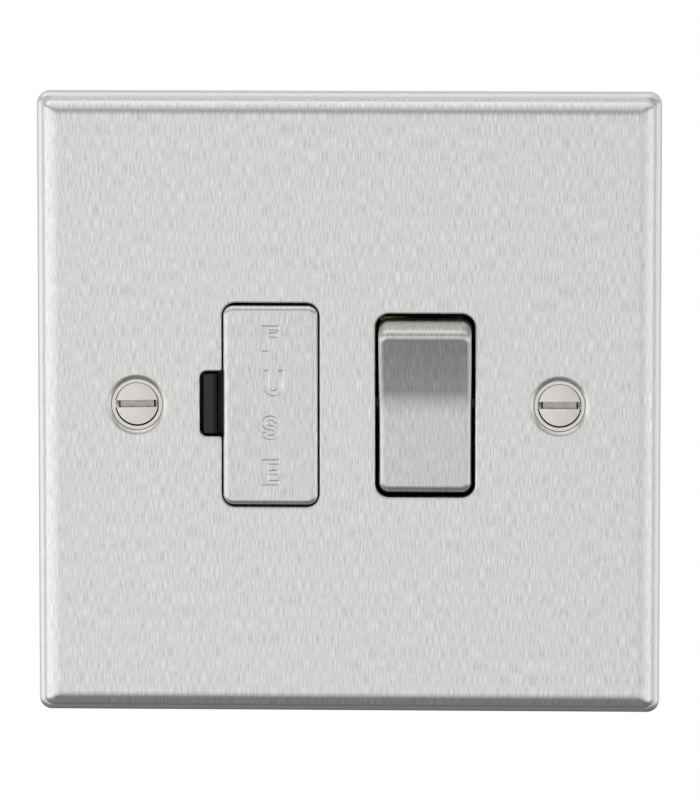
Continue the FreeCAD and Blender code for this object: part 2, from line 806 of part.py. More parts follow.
def rear_base():
    """The black moulding in the wall box: bays for fuse and switch, and pockets for the terminals."""
    over = split_depth - sheet
    base = rounded_block(
        about(0, body_w / 2), (split_depth, body_depth), about(0, body_h / 2), body_corner_r
    )
    spaces = [
        box(about(fuse_x, fuse_opening_w / 2), (over, bay_floor_y), about(0, fuse_opening_h / 2)),
        box(
            about(fuse_x, fuse_opening_w / 2),
            (over, cradle_y + cradle_back + carrier_gap),
            about(0, cradle_half_h + carrier_gap),
        ),
        box(about(rocker_x, rocker_opening_w / 2), (over, floor_depth), about(0, rocker_bay_h / 2)),
        wall_slot(-1),
        wall_slot(1),
    ]
    for x, side in terminal_places():
        pocket_z = mirrored((terminal_z - pocket_gap, body_h), side)
        pocket_y = (terminal_front_y - pocket_gap, floor_depth)
        spaces.append(box(about(x, terminal_w / 2 + pocket_gap), pocket_y, pocket_z))
        way = about(side * screw_z, screw_way / 2)
        spaces.append(box(about(x, screw_way / 2), (wire_y, body_depth + sheet), way))
    for x in pole_x:
        spaces.append(grown_box(fixed_contact(x), channel_gap))
    for run in (live_run(), neutral_run(), supply_clip_run(), load_clip_run()):
        for stretch in run:
            spaces.append(grown_box(stretch, channel_gap))
    for x, z in assembly_places():
        spaces.append(rod((x, over, z), (0, 1, 0), body_depth, assembly_r + assembly_gap))
    base = base.cut(spaces + earth_pieces(channel_gap))
    wall_y = (floor_depth - barrier_height, floor_depth + barrier)
    wall = box(about(rocker_x, barrier / 2), wall_y, about(0, rocker_bay_h / 2))
    return join([base, wall])


def parts():
    """Every piece of the unit by the name that it is kept under."""
    made = {
        "front_plate": front_plate(),
        "front_moulding": front_moulding(),
        "rear_base": rear_base(),
        "fixing_screw_left": fixing_screw(-screw_x, left_slot_turn),
        "fixing_screw_right": fixing_screw(screw_x, 0),
        "assembly_screws": assembly_screws(),
        "terminal_screws": terminal_screws(),
        "earth_strap": earth_strap(),
        "fuse_cap": fuse_cap(),
        "fuse_carrier": fuse_carrier(),
        "fuse_tube": fuse_tube(),
        "fuse_end_cap_top": fuse_end_cap(1),
        "fuse_end_cap_bottom": fuse_end_cap(-1),
        "fuse_clip_supply": clip(1, supply_clip_run()),
        "fuse_clip_load": clip(-1, load_clip_run()),
        "rocker_cap": rocker_cap(),
        "rocker_dolly": rocker_dolly(),
        "live_contact_support": contact_support(pole_x[0], live_run()),
        "neutral_contact_support": contact_support(pole_x[1], neutral_run()),
    }
    for pole, x in zip(("live", "neutral"), pole_x):
        made[pole + "_plunger"] = plunger(x)
        made[pole + "_spring"] = spring(x)
        made[pole + "_contact_arm"] = contact_arm(x)
        made[pole + "_fixed_contact"] = fixed_contact(x)
    supply = ("supply_earth_terminal", "supply_live_terminal", "supply_neutral_terminal")
    load = ("load_live_terminal", "load_earth_terminal", "load_neutral_terminal")
    for name, (x, side) in zip(supply + load, terminal_places()):
        made[name] = terminal(x, side)
    return made


os.makedirs("parts", exist_ok=True)
for name, shape in parts().items():
    if not shape.isValid():
        raise RuntimeError(name + " is not a valid shape")
    shape.exportStep("parts/" + name + ".step")
    print(name, len(shape.Solids), "solids", round(shape.Volume, 1), "mm3")
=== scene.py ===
from math import cos, pi, radians, sin, sqrt, tan

import bmesh
import bpy
import numpy as np
from bpy.props import FloatProperty, FloatVectorProperty, IntProperty, PointerProperty
from mathutils import Matrix, Vector


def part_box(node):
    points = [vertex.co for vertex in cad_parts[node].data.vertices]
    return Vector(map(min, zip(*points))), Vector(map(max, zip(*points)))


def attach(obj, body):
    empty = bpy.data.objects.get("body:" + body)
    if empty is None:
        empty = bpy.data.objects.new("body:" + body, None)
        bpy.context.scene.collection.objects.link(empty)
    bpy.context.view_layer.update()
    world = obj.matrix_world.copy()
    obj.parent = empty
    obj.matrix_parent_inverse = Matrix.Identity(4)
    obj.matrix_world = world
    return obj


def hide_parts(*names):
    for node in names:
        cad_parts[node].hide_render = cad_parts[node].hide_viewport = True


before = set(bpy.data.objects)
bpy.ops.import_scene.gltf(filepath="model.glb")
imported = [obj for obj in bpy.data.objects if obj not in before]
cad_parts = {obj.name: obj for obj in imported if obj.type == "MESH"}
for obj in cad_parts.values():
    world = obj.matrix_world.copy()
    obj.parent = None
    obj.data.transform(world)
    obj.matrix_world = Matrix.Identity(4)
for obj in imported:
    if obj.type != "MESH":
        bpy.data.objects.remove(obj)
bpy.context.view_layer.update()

bl_info = {
    "name": "Fused spur unit",
    "version": (1, 0, 0),
    "blender": (4, 5, 0),
    "location": "View3D > Sidebar > Spur unit",
    "description": "Dresses a switched fused connection unit in drawn metal, moulded plastic and brass",
    "category": "Object",
}

MM = 0.001
# Points closer than MERGE metres become one, and edges shorter than SLIVER go.
MERGE = 1e-6
SLIVER = 1e-7
# Numbers of a piece's finishes: the three of the plate, and the sawn slot of a screw.
METAL = 0
POLISHED = 1
EDGE = 2
CUT = 1
# Steps once round a turned piece, and in each corner of the plate, of its openings and of the caps.
ROUND = 72
PLATE_ARC = 20
OPENING_ARC = 12
CAP_ARC = 16
# Places of the four letters in letter pitches, from the lowest up.
LETTER_ROWS = (-1.5, -0.5, 0.5, 1.5)


def length(name, description, millimetres):
    """A length property shown in the scene's units."""
    return FloatProperty(
        name=name, description=description, default=millimetres * MM, unit="LENGTH", precision=5
    )


def angle(name, description, degrees):
    """An angle property."""
    return FloatProperty(name=name, description=description, default=radians(degrees), subtype="ANGLE")


def colour(name, description, value):
    """A colour property."""
    return FloatVectorProperty(
        name=name, description=description, default=value, subtype="COLOR", size=3, min=0.0, max=1.0
    )


class PlateSizes(bpy.types.PropertyGroup):
    """The drawn front plate."""

    size: length("Size", "Width and height of the plate", 89.1)
    proud: length("Proud", "Height of the face over the wall", 5.5)
    sheet: length("Sheet", "Thickness of the metal", 1.0)
    corner: length("Corner radius", "Radius of the outer corners", 1.8)
    ledge_height: length("Ledge height", "Height of the narrow ledge over the wall", 2.9)
    ledge_width: length("Ledge width", "Width of the ledge round the shoulder", 0.8)
    shoulder: length("Shoulder radius", "Radius of the roll from face to ledge", 2.5)
    shoulder_depth: length("Shoulder depth", "Depth of the roll, which is an oval", 1.7)
    draft: length("Draft", "How far the wall under the shoulder leans out to the ledge", 0.15)
    shoulder_corner: length("Shoulder corner", "Radius of the shoulder's corners at its foot", 1.5)
    face_corner: length("Face corner", "Least radius of the face's corners", 0.5)
    foot: length("Foot", "Radius in the corner between shoulder and ledge", 0.07)
    rim: length("Rim", "Width of the worn edge that lies on the wall", 0.12)
    lip_start: angle("Lip start", "Angle at which the outer lip starts to turn away from the foot", 25.0)
    opening_lip: length("Opening lip", "Radius of the drawn edge round both openings", 0.32)
    dimple: length("Dimple radius", "Where the plate starts to turn in to a screw", 4.5)
    dimple_lip: length("Dimple lip", "Radius of that turn", 1.08)
    crease: length("Crease", "Width of the crease round the countersink's flat rim", 0.075)
    seat: length("Seat radius", "Where that rim ends and the cone for the screw starts", 3.14)
    hole: length("Screw hole", "Radius of the screw holes", 1.95)
    pitch: length("Fixing pitch", "Distance between the fixing screws", 60.3)


class FuseCapSizes(bpy.types.PropertyGroup):
    """The fuse carrier's cap, its opening and its lettering."""

    middle: length("Middle", "Place of the cap across the plate", -11.06)
    width: length("Width", "Width of the cap", 13.55)
    height: length("Height", "Height of the cap", 28.64)
    front: length("Front", "Height of the cap's face over the wall", 6.0)
    depth: length("Depth", "Depth of the cap's walls", 2.6)
    sheet: length("Sheet", "Thickness of the metal", 0.55)
    corner: length("Corner radius", "Radius of the cap's corners", 1.5)
    roll: length("Edge radius", "Radius of the rolled edge", 0.8)
    gap_x: length("Side gap", "Gap between cap and plate at the sides", 0.17)
    gap_z: length("End gap", "Gap between cap and plate at the ends", 0.29)
    opening_corner: length("Opening corner", "Radius of the opening's corners", 1.9)
    notch_reach: length("Notch reach", "How far the notch stands out of the opening", 3.15)
    notch_low: length("Notch bottom", "Lower side of the notch", -4.5)
    notch_high: length("Notch top", "Upper side of the notch", 4.78)
    notch_corner: length("Notch corner", "Radius of the notch's outer corners", 1.05)
    notch_blend: length("Notch blend", "Radius where the notch meets the opening", 0.4)
    letter_height: length("Letter height", "Height of a letter", 3.6)
    letter_width: length("Letter width", "Width of a letter", 2.45)
    letter_pitch: length("Letter pitch", "Distance from letter to letter", 6.4)
    letter_stroke: length("Letter stroke", "Width of the letters' strokes", 0.72)
    letter_depth: length("Letter depth", "How deep the letters are pressed in", 0.062)
    letter_soft: length("Letter edge", "Width of the slope at the letters' edges", 0.24)
    letter_shift: length("Letter shift", "How far the second letter is set to the right", 0.42)


class RockerSizes(bpy.types.PropertyGroup):
    """The rocker's cap and its opening."""

    middle: length("Middle", "Place of the rocker across the plate", 11.0)
    width: length("Width", "Width of the cap", 13.2)
    half_length: length("Half length", "From the middle to the end of a flat", 11.6)
    valley: length("Valley height", "Height of the valley's bottom point over the pins", 3.985)
    valley_r: length("Valley radius", "Radius of the valley between the flats", 16.0)
    valley_shift: length("Valley place", "How far the valley lies above the middle", 0.9)
    bow: length("Bow", "How far each flat sags between the valley and its end", 0.07)
    tilt: angle("Tilt", "Slope of each flat, and of the rocker at rest", 8.5)
    pivot: length("Pins", "Depth of the pins' axis, towards the wall", -1.8)
    corner: length("Corner radius", "Radius of the cap's corners", 1.45)
    side_roll: length("Side edge radius", "Radius of the rolled side edges", 0.8)
    end_roll: length("End edge radius", "Radius of the rolled end edges", 1.3)
    low: length("Lower edge", "Height of the cap's lower edge over the pins", 1.4)
    sheet: length("Sheet", "Thickness of the metal", 0.46)
    opening_w: length("Opening width", "Width of the opening in the plate", 14.2)
    opening_h: length("Opening height", "Height of the opening in the plate", 26.3)
    opening_corner: length("Opening corner", "Radius of the opening's corners", 1.95)


class ScrewSizes(bpy.types.PropertyGroup):
    """The fixing screws and the small screws behind."""

    head: length("Head radius", "Radius of the fixing screw's head", 2.98)
    crown: length("Crown", "Height of the domed head over its rim", 0.1)
    rim: length("Rim depth", "Depth of the rim under the plate's face", 0.37)
    above: length("Above the middle", "How far the screws sit above the middle of their holes", 0.1)
    slot: length("Slot width", "Width of the driver slot", 1.0)
    slot_depth: length("Slot depth", "Depth of the slot under the rim", 0.5)
    taper: FloatProperty(name="Taper", description="How fast the head narrows with depth", default=1.15)
    left_turn: angle("Left slot turn", "How far the left slot is off level", 1.0)
    neck: length("Neck radius", "Radius of the neck under the head", 1.6)
    shank: length("Thread radius", "Radius over the thread", 1.75)
    shank_length: length("Shank length", "How far the shank stands behind the wall plane", 21.0)
    pitch: length("Thread pitch", "Distance from turn to turn", 0.6)
    thread: length("Thread depth", "Depth of the thread", 0.3)
    neck_end: length("Neck end", "How far behind the wall plane the neck ends", 0.3)
    edge: length("Edge", "Width of the worn edge round head and slot", 0.09)


class SmallScrewSizes(bpy.types.PropertyGroup):
    """The screws that hold the mouldings together and the terminal screws, seen from behind."""

    shank: length("Assembly shank", "Radius over the thread of an assembly screw", 1.2)
    thread: length("Assembly thread", "Depth of an assembly screw's thread", 0.22)
    pitch: length("Assembly pitch", "Distance from turn to turn of an assembly screw", 0.8)
    head: length("Assembly head", "Radius of an assembly screw's head", 2.2)
    head_depth: length("Head depth", "Depth of an assembly screw's head under its dome", 1.4)
    crown: length("Crown", "Height of an assembly screw's dome", 0.3)
    slot: length("Assembly slot", "Width of an assembly screw's slot", 0.6)
    slot_depth: length("Assembly slot depth", "Depth of an assembly screw's slot", 0.65)
    neck: length("Neck", "Radius of the neck under an assembly screw's head", 1.08)
    neck_length: length("Neck length", "Length of that neck", 0.4)
    grub: length("Terminal shank", "Radius over the thread of a terminal screw", 1.42)
    grub_thread: length("Terminal thread", "Depth of a terminal screw's thread", 0.2)
    grub_pitch: length("Terminal pitch", "Distance from turn to turn of a terminal screw", 0.5)
    tip: length("Terminal end", "Radius of a terminal screw's smooth end", 1.25)
    tip_length: length("End length", "Length of a terminal screw's smooth end", 0.7)
    grub_slot: length("Terminal slot", "Width of a terminal screw's slot", 0.5)
    grub_slot_depth: length("Terminal slot depth", "Depth of a terminal screw's slot", 0.55)
    turn: angle("Slot turn", "How far each terminal screw's slot is turned from the one before", 50.0)


class FuseSizes(bpy.types.PropertyGroup):
    """The cartridge fuse."""

    length: length("Length", "Length over the end caps", 25.4)
    end_r: length("End cap radius", "Radius of the end caps", 3.175)
    tube_r: length("Tube radius", "Radius of the ceramic body", 2.95)
    end_length: length("End cap length", "Length of an end cap", 5.5)
    wall: length("End cap wall", "Thickness of an end cap's face", 0.3)
    edge: length("Edge radius", "Radius of the tube's and the end caps' rounded edges", 0.45)
    lip: length("Lip", "Width of the worn lip at an end cap's mouth", 0.12)
    play: length("Play", "Gap between tube and end cap", 0.02)
    depth: length("Depth", "Depth of the fuse's axis behind the wall plane", 1.575)


class SpringSizes(bpy.types.PropertyGroup):
    """The two plunger springs."""

    coil_r: length("Coil radius", "Radius of the coil", 0.78)
    wire_r: length("Wire radius", "Radius of the wire", 0.15)
    spacing: length("Spacing", "Distance between the two springs", 6.8)
    top: length("Top", "Height of the upper end over the pins", 2.62)
    bottom: length("Bottom", "Height of the lower end over the pins", -6.32)
    turns: IntProperty(name="Turns", description="Number of turns", default=6, min=3)
    closing: FloatProperty(
        name="Closing", description="How much closer the end turns lie", default=0.28, subtype="FACTOR"
    )


class FinishColours(bpy.types.PropertyGroup):
    """Colours of the metals and mouldings."""

    steel: colour("Plate", "Brushed metal of the plate", (0.726, 0.726, 0.713))
    cap_steel: colour("Fuse cap", "Brushed metal of the fuse cap", (0.70, 0.70, 0.687))
    rocker_steel: colour("Rocker cap", "Brushed metal of the rocker's cap", (0.633, 0.633, 0.618))
    nickel: colour("Nickel", "Screws and countersinks", (0.72, 0.70, 0.665))
    black: colour("Black moulding", "Mouldings behind the plate", (0.011, 0.011, 0.0115))
    rocker: colour("Black rocker", "Rocker body and plungers", (0.014, 0.014, 0.015))
    brass: colour("Brass", "Contacts, clips and terminals", (0.73, 0.53, 0.24))
    zinc: colour("Zinc plate", "Small screws", (0.56, 0.57, 0.58))
    spring: colour("Spring wire", "Plunger springs", (0.42, 0.42, 0.42))
    ceramic: colour("Ceramic", "Body of the fuse", (0.80, 0.77, 0.70))


class StageSettings(bpy.types.PropertyGroup):
    """Camera, light and floor."""

    distance: length("Camera distance", "From the plate to the camera", 1000.0)
    lens: FloatProperty(name="Lens", description="Focal length of the camera", default=315.7, unit="CAMERA")
    azimuth: angle("Azimuth", "Angle of the camera to the right", 2.2)
    elevation: angle("Elevation", "Angle of the camera above the level", 6.75)
    aim_right: length("Aim right", "How far right of the plate's middle the camera aims", 0.285)
    aim_up: length("Aim up", "How far above the plate's middle the camera aims", 0.784)
    floor: length("Floor", "Height of the floor", -300.0)
    floor_near: length("Floor start", "Where the floor starts", 600.0)
    floor_far: length("Floor end", "Where the floor ends", 6000.0)
    floor_width: length("Floor width", "Width of the floor", 6000.0)


GROUPS = {
    "spur_plate": PlateSizes,
    "spur_fuse_cap": FuseCapSizes,
    "spur_rocker": RockerSizes,
    "spur_screws": ScrewSizes,
    "spur_small_screws": SmallScrewSizes,
    "spur_fuse": FuseSizes,
    "spur_springs": SpringSizes,
    "spur_colours": FinishColours,
    "spur_stage": StageSettings,
}


def outline(corners, radii, steps, sides):
    """A closed line round a polygon with rounded corners, as points (x, z) and outward normals.

    Each corner is an arc: the normal of the side before it turns by the angle between the two sides, and
    the point is the arc's middle plus that normal times the radius. A corner that turns the other way bends
    inwards. sides holds, for each corner, the places from 0 to 1 of the points on the straight side after it.
    """
    corners = np.asarray(corners, float)
    radii = np.asarray(radii, float)
    into = corners - np.roll(corners, 1, axis=0)
    into /= np.linalg.norm(into, axis=1)[:, None]
    out = np.roll(into, -1, axis=0)
    turn = np.arctan2(into[:, 0] * out[:, 1] - into[:, 1] * out[:, 0], np.sum(into * out, axis=1))
    normal = np.stack([into[:, 1], -into[:, 0]], axis=1)
    start = corners - into * (radii * np.tan(np.abs(turn) / 2))[:, None]
    swing = (radii * np.sign(turn))[:, None]
    middle = start - normal * swing
    places, normals = [], []
    for k in range(len(corners)):
        phi = np.linspace(0, turn[k], steps + 1)[:, None]
        c, s = np.cos(phi), np.sin(phi)
        facing = np.hstack([normal[k, 0] * c - normal[k, 1] * s, normal[k, 0] * s + normal[k, 1] * c])
        arc = middle[k] + facing * swing[k]
        u = np.asarray(sides[k], float).reshape(-1, 1)
        run = arc[-1] * (1 - u) + start[(k + 1) % len(corners)] * u
        places += [arc, run]
        normals += [facing, np.repeat(facing[-1:], len(run), axis=0)]
    return np.vstack(places), np.vstack(normals)


def rounded(half_x, half_z, r, steps, across=(), up=(), middle=0.0):
    """The outline of a rounded rectangle, counted from its lower left corner.

    across and up hold the places of the points on the straight sides, as shares of their length.
    """
    corners = [(-half_x, -half_z), (half_x, -half_z), (half_x, half_z), (-half_x, half_z)]
    back = [1 - u for u in reversed(across)], [1 - u for u in reversed(up)]
    points, normals = outline(corners, [r] * 4, steps, [across, up, back[0], back[1]])
    return points + (middle, 0.0), normals


def rows(points, normals, steps):
    """A band along a closed line: each step is an inset along the normals and a depth y."""
    inset = np.array([s[0] for s in steps])[:, None]
    depth = np.array([s[1] for s in steps])[:, None]
    x = points[None, :, 0] - normals[None, :, 0] * inset
    z = points[None, :, 1] - normals[None, :, 1] * inset
    return np.stack([x, np.broadcast_to(depth, x.shape), z], axis=-1)


def squared_rows(half, r, least, steps):
    """A band round a rounded square: each step insets it and its corners' radius, down to a least radius."""
    band = []
    for inset, y in steps:
        points, _ = rounded(half - inset, half - inset, max(r - inset, least), PLATE_ARC)
        band.append(np.insert(points, 1, y, axis=1))
    return np.stack(band)


def roll(r, inset, y, steps, depth=None):
    """Steps of a quarter round: it leaves the face at y, and ends square to it, r further out and as deep.

    The inset shrinks with the sine of the angle and the depth grows with one minus its cosine. A depth of its
    own makes it a quarter of an oval.
    """
    a = np.linspace(0, pi / 2, steps + 1)
    return [(inset - r * sin(t), y + (depth or r) * (1 - cos(t))) for t in a]


def patch(loop, across):
    """The inside of a closed line as a grid, by a Coons patch.

    The line is four sides of which the first has the given steps. The patch is the surface ruled between
    the lower and upper side, plus the one ruled between left and right, less the one between the corners.
    """
    up = len(loop) // 2 - across
    low = loop[: across + 1]
    right = loop[across : across + up + 1]
    high = loop[across + up : 2 * across + up + 1][::-1]
    left = np.vstack([loop[2 * across + up :], loop[:1]])[::-1]
    u = ((low[:, 0] - low[0, 0]) / (low[-1, 0] - low[0, 0]))[None, :, None]
    v = ((left[:, 1] - left[0, 1]) / (left[-1, 1] - left[0, 1]))[:, None, None]
    ruled = (1 - v) * low[None] + v * high[None] + (1 - u) * left[:, None] + u * right[:, None]
    flat = (1 - v) * ((1 - u) * low[0] + u * low[-1]) + v * ((1 - u) * high[0] + u * high[-1])
    return ruled - flat


def grid_faces(shape, closed):
    """Corner numbers of the quads of a grid of points, closed where the last column joins the first."""
    count, columns = shape
    r, c = np.meshgrid(np.arange(count - 1), np.arange(columns if closed else columns - 1), indexing="ij")
    after = (c + 1) % columns
    here, below = r * columns, (r + 1) * columns
    return np.stack([here + c, here + after, below + after, below + c], axis=-1).reshape(-1, 4)


def make(name, sheets, finishes, flats=(), grain=None, sharp=35.0):
    """One object from point grids, each a tuple of points (rows, columns, 3), closed and finish number.

    Doubles are merged, the open edges that lie in each plane of flats are filled, and normals are worked out
    again. Edges that turn by more than sharp degrees shade sharply. grain is what the brushing's own map is
    laid out from.
    """
    points, faces, number, start = [], [], [], 0
    for grid, closed, finish in sheets:
        quads = grid_faces(grid.shape[:2], closed) + start
        points.append(grid.reshape(-1, 3))
        faces.append(quads)
        number.append(np.full(len(quads), finish))
        start += grid.shape[0] * grid.shape[1]
    points, faces, number = np.vstack(points), np.vstack(faces), np.concatenate(number)
    mesh = bpy.data.meshes.new(name)
    mesh.vertices.add(len(points))
    mesh.vertices.foreach_set("co", points.astype(np.float32).ravel())
    mesh.loops.add(faces.size)
    mesh.loops.foreach_set("vertex_index", faces.astype(np.int32).ravel())
    mesh.polygons.add(len(faces))
    mesh.polygons.foreach_set("loop_start", np.arange(len(faces), dtype=np.int32) * 4)
    mesh.polygons.foreach_set("material_index", number.astype(np.int32))
    mesh.update(calc_edges=True)
    work = bmesh.new()
    work.from_mesh(mesh)
    bmesh.ops.remove_doubles(work, verts=work.verts, dist=MERGE)
    bmesh.ops.dissolve_degenerate(work, dist=SLIVER, edges=work.edges)
    for y in flats:
        edges = [e for e in work.edges if e.is_boundary and all(abs(v.co.y - y) < MERGE for v in e.verts)]
        bmesh.ops.triangle_fill(work, use_beauty=True, edges=edges)
    bmesh.ops.recalc_face_normals(work, faces=work.faces)
    work.to_mesh(mesh)
    work.free()
    mesh.polygons.foreach_set("use_smooth", np.ones(len(mesh.polygons), bool))
    mesh.set_sharp_from_angle(angle=radians(sharp))
    for finish in finishes:
        mesh.materials.append(finish)
    if grain is not None:
        lay_grain(mesh, grain)
    piece = bpy.data.objects.new(name, mesh)
    bpy.context.scene.collection.objects.link(piece)
    return piece


def lay_grain(mesh, grain):
    """The brushing's own map: u is x and v is z, and the depth under the face adds to one of them.

    It adds to u on the left and right sides and to v at the top and bottom, so that the streaks run on over
    the edges. grain holds the middle and half sizes, and the face's profile as places z and their depths y.
    """
    middle, half_x, half_z, along, face = grain
    at = np.empty(len(mesh.vertices) * 3, np.float32)
    mesh.vertices.foreach_get("co", at)
    at = at.reshape(-1, 3)
    under = at[:, 1] - np.interp(at[:, 2], along, face)
    x, z = at[:, 0] - middle, at[:, 2]
    side = np.abs(x) - half_x > np.abs(z) - half_z
    u = x + np.where(side, np.sign(x) * under, 0)
    v = z + np.where(side, 0, np.sign(z) * under)
    corner = np.empty(len(mesh.loops), np.int32)
    mesh.loops.foreach_get("vertex_index", corner)
    layer = mesh.uv_layers.new(name="grain")
    layer.uv.foreach_set("vector", np.stack([u, v], axis=1)[corner].astype(np.float32).ravel())


def even_shading(piece):
    """Lets the large flat faces set the shading of the narrow rolls beside them."""
    shade = piece.modifiers.new("even shading", "WEIGHTED_NORMAL")
    shade.keep_sharp = True


def shell(piece, thickness):
    """Gives a drawn surface the thickness of its sheet, inwards, with a crisp rim."""
    work = bmesh.new()
    work.from_mesh(piece.data)
    for edge in work.edges:
        if edge.is_boundary:
            edge.smooth = False
    work.to_mesh(piece.data)
    work.free()
    solid = piece.modifiers.new("sheet", "SOLIDIFY")
    solid.thickness = thickness
    solid.offset = -1.0
    solid.use_even_offset = False


def place(piece, body, nodes):
    """Hands the piece to its moving body, in place of the plain solids, with the slot of its finish."""
    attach(piece, body)
    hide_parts(*nodes)


def revolve(profile, angles, middle, axis="y"):
    """A surface of revolution.

    Each point of the profile is a radius and a place along the axis, and is turned by each angle.
    """
    r = np.array([p[0] for p in profile])[:, None]
    along = np.array([p[1] for p in profile])[:, None]
    a, b = r * np.cos(angles)[None], r * np.sin(angles)[None]
    along = np.broadcast_to(along, a.shape)
    stack = [a, along, b] if axis == "y" else [a, b, along]
    return np.stack(stack, axis=-1) + np.asarray(middle)


def around(steps):
    """Angles once round, without the last."""
    return np.linspace(0, 2 * pi, steps, endpoint=False)


def opening_lines(cap, rocker):
    """The two openings of the plate: the fuse opening with its notch, and the rocker's."""
    half_w = cap.width / 2 + cap.gap_x
    half_h = cap.height / 2 + cap.gap_z
    left, right = cap.middle - half_w, cap.middle + half_w
    corners = [
        (left, -half_h), (right, -half_h), (right, half_h), (left, half_h),
        (left, cap.notch_high), (left - cap.notch_reach, cap.notch_high),
        (left - cap.notch_reach, cap.notch_low), (left, cap.notch_low),
    ]
    r, n, b = cap.opening_corner, cap.notch_corner, cap.notch_blend
    fuse = outline(corners, [r, r, r, r, b, n, n, b], OPENING_ARC, [()] * len(corners))
    half_w, half_h = rocker.opening_w / 2, rocker.opening_h / 2
    tipping = rounded(half_w, half_h, rocker.opening_corner, OPENING_ARC, middle=rocker.middle)
    return fuse, tipping


def dimple_rows(plate, x):
    """One countersink: a rolled lip, a crease, a polished flat rim and cone, the hole and the sheet's back.

    The lip is an arc of the lip's radius through 45 degrees. The crease is three times as deep as the rim
    stands under the lip. The cone falls at 45 degrees from the rim, and the back runs beside it, one sheet
    away.
    """
    face = -plate.proud
    a = np.linspace(0, pi / 4, 9)
    lip = [(plate.dimple - plate.dimple_lip * sin(t), face + plate.dimple_lip * (1 - cos(t))) for t in a]
    mouth_r, mouth = lip[-1]
    crease = plate.crease
    seat = mouth + crease
    foot = seat + plate.seat - plate.hole
    cone = [lip[-1], (mouth_r - crease, mouth + 3 * crease), (mouth_r - 2 * crease, seat)]
    cone += [(plate.seat, seat), ((plate.seat + plate.hole) / 2, (seat + foot) / 2), (plate.hole, foot)]
    back_r = plate.hole + plate.sheet * sqrt(2)
    back = [cone[-1], (back_r, foot), (back_r + (foot - face) - plate.sheet, face + plate.sheet)]
    turns = around(ROUND)
    middle = (x, 0.0, 0.0)
    return [
        (revolve(lip, turns, middle), True, METAL),
        (revolve(cone, turns, middle), True, POLISHED),
        (revolve(back, turns, middle), True, METAL),
    ]


def edge_profiles(plate):
    """Three profiles of the plate's edge, as insets and depths: the shoulder, the outer lip and the inside.

    The shoulder is a quarter of an oval with a drafted wall and a small hollow at its foot. The lip is an arc
    that is already turned by the start angle where it leaves the ledge, and ends on the wall with a chamfered
    rim. The inside follows both, one sheet away.
    """
    face, ledge = -plate.proud, -plate.ledge_height
    foot, rim, sheet = plate.foot, plate.rim, plate.sheet
    hollow = foot * 0.3
    shoulder = roll(plate.shoulder - plate.draft, plate.shoulder, face, 22, plate.shoulder_depth)
    shoulder += [(0.0, ledge - foot), (-hollow, ledge - hollow), (-foot, ledge)]
    lip_r = (plate.ledge_width - foot) / (1 - sin(plate.lip_start))
    angles = np.linspace(plate.lip_start, pi / 2, 9)
    lip = [(lip_r * (1 - sin(t)), ledge + lip_r * (cos(plate.lip_start) - cos(t))) for t in angles]
    lip += [(0.0, -rim), (rim, 0.0), (sheet - rim, 0.0), (sheet, -rim), (sheet, ledge + sheet)]
    inside = [lip[-1]] + roll(plate.shoulder - sheet, plate.shoulder, face + sheet, 8)[::-1]
    return shoulder, lip, inside


class SPUR_OT_front_plate(bpy.types.Operator):
    """Adds the drawn metal plate with its stepped edge, its openings and its countersinks"""

    bl_idname = "spur.front_plate"
    bl_label = "Front plate"

    def execute(self, context):
        """Stacks the edge's bands round the plate, and adds the openings' walls and the countersinks.

        The flat faces are filled in between them.
        """
        plate, cap, rocker = context.scene.spur_plate, context.scene.spur_fuse_cap, context.scene.spur_rocker
        face, back = -plate.proud, -plate.proud + plate.sheet
        half = plate.size / 2
        raised = half - plate.ledge_width
        shoulder, lip, inside = edge_profiles(plate)
        band = rows(*rounded(half, half, plate.corner, PLATE_ARC), lip)
        top = squared_rows(raised, plate.shoulder_corner, plate.face_corner, shoulder)
        under = squared_rows(raised, plate.shoulder_corner, plate.face_corner, inside)
        step, shelf = np.stack([top[-1], band[0]]), np.stack([band[-1], under[0]])
        sheets = [(top, True, METAL), (under, True, METAL)]
        sheets += [(grid, True, EDGE) for grid in (step, band, shelf)]
        for points, normals in opening_lines(cap, rocker):
            wall = [(-inset, y) for inset, y in roll(plate.opening_lip, plate.opening_lip, face, 6)]
            wall.append((0.0, back))
            sheets.append((rows(points, normals, wall), True, METAL))
        for x in (-plate.pitch / 2, plate.pitch / 2):
            sheets += dimple_rows(plate, x)
        finishes = [brushed_metal(), polished_nickel(), drawn_edge()]
        grain = (0.0, half, half, (-half, half), (face, face))
        piece = make("plate_metal", sheets, finishes, (face, back), grain)
        even_shading(piece)
        place(piece, "unit", ["front_plate"])
        return {"FINISHED"}


def bend(x, z, cx, cz, rx, rz, start, end):
    """Distance from points to an arc of an oval about (cx, cz), from a start angle to an end angle.

    The nearest point is taken at the points' own angle about the middle, held between the arc's ends.
    """
    seen = np.arctan2((z - cz) / rz, (x - cx) / rx)
    middle = (start + end) / 2
    off = (seen - middle + pi) % (2 * pi) - pi
    at = middle + np.clip(off, -(end - start) / 2, (end - start) / 2)
    return np.hypot(x - cx - rx * np.cos(at), z - cz - rz * np.sin(at))


def square_stroke(x, z, low_x, low_z, high_x, high_z):
    """Distance from points to a square-ended bar given by its two corners, negative inside it."""
    dx = np.maximum(low_x - x, x - high_x)
    dz = np.maximum(low_z - z, z - high_z)
    outside = np.hypot(np.maximum(dx, 0), np.maximum(dz, 0))
    return outside + np.minimum(np.maximum(dx, dz), 0)


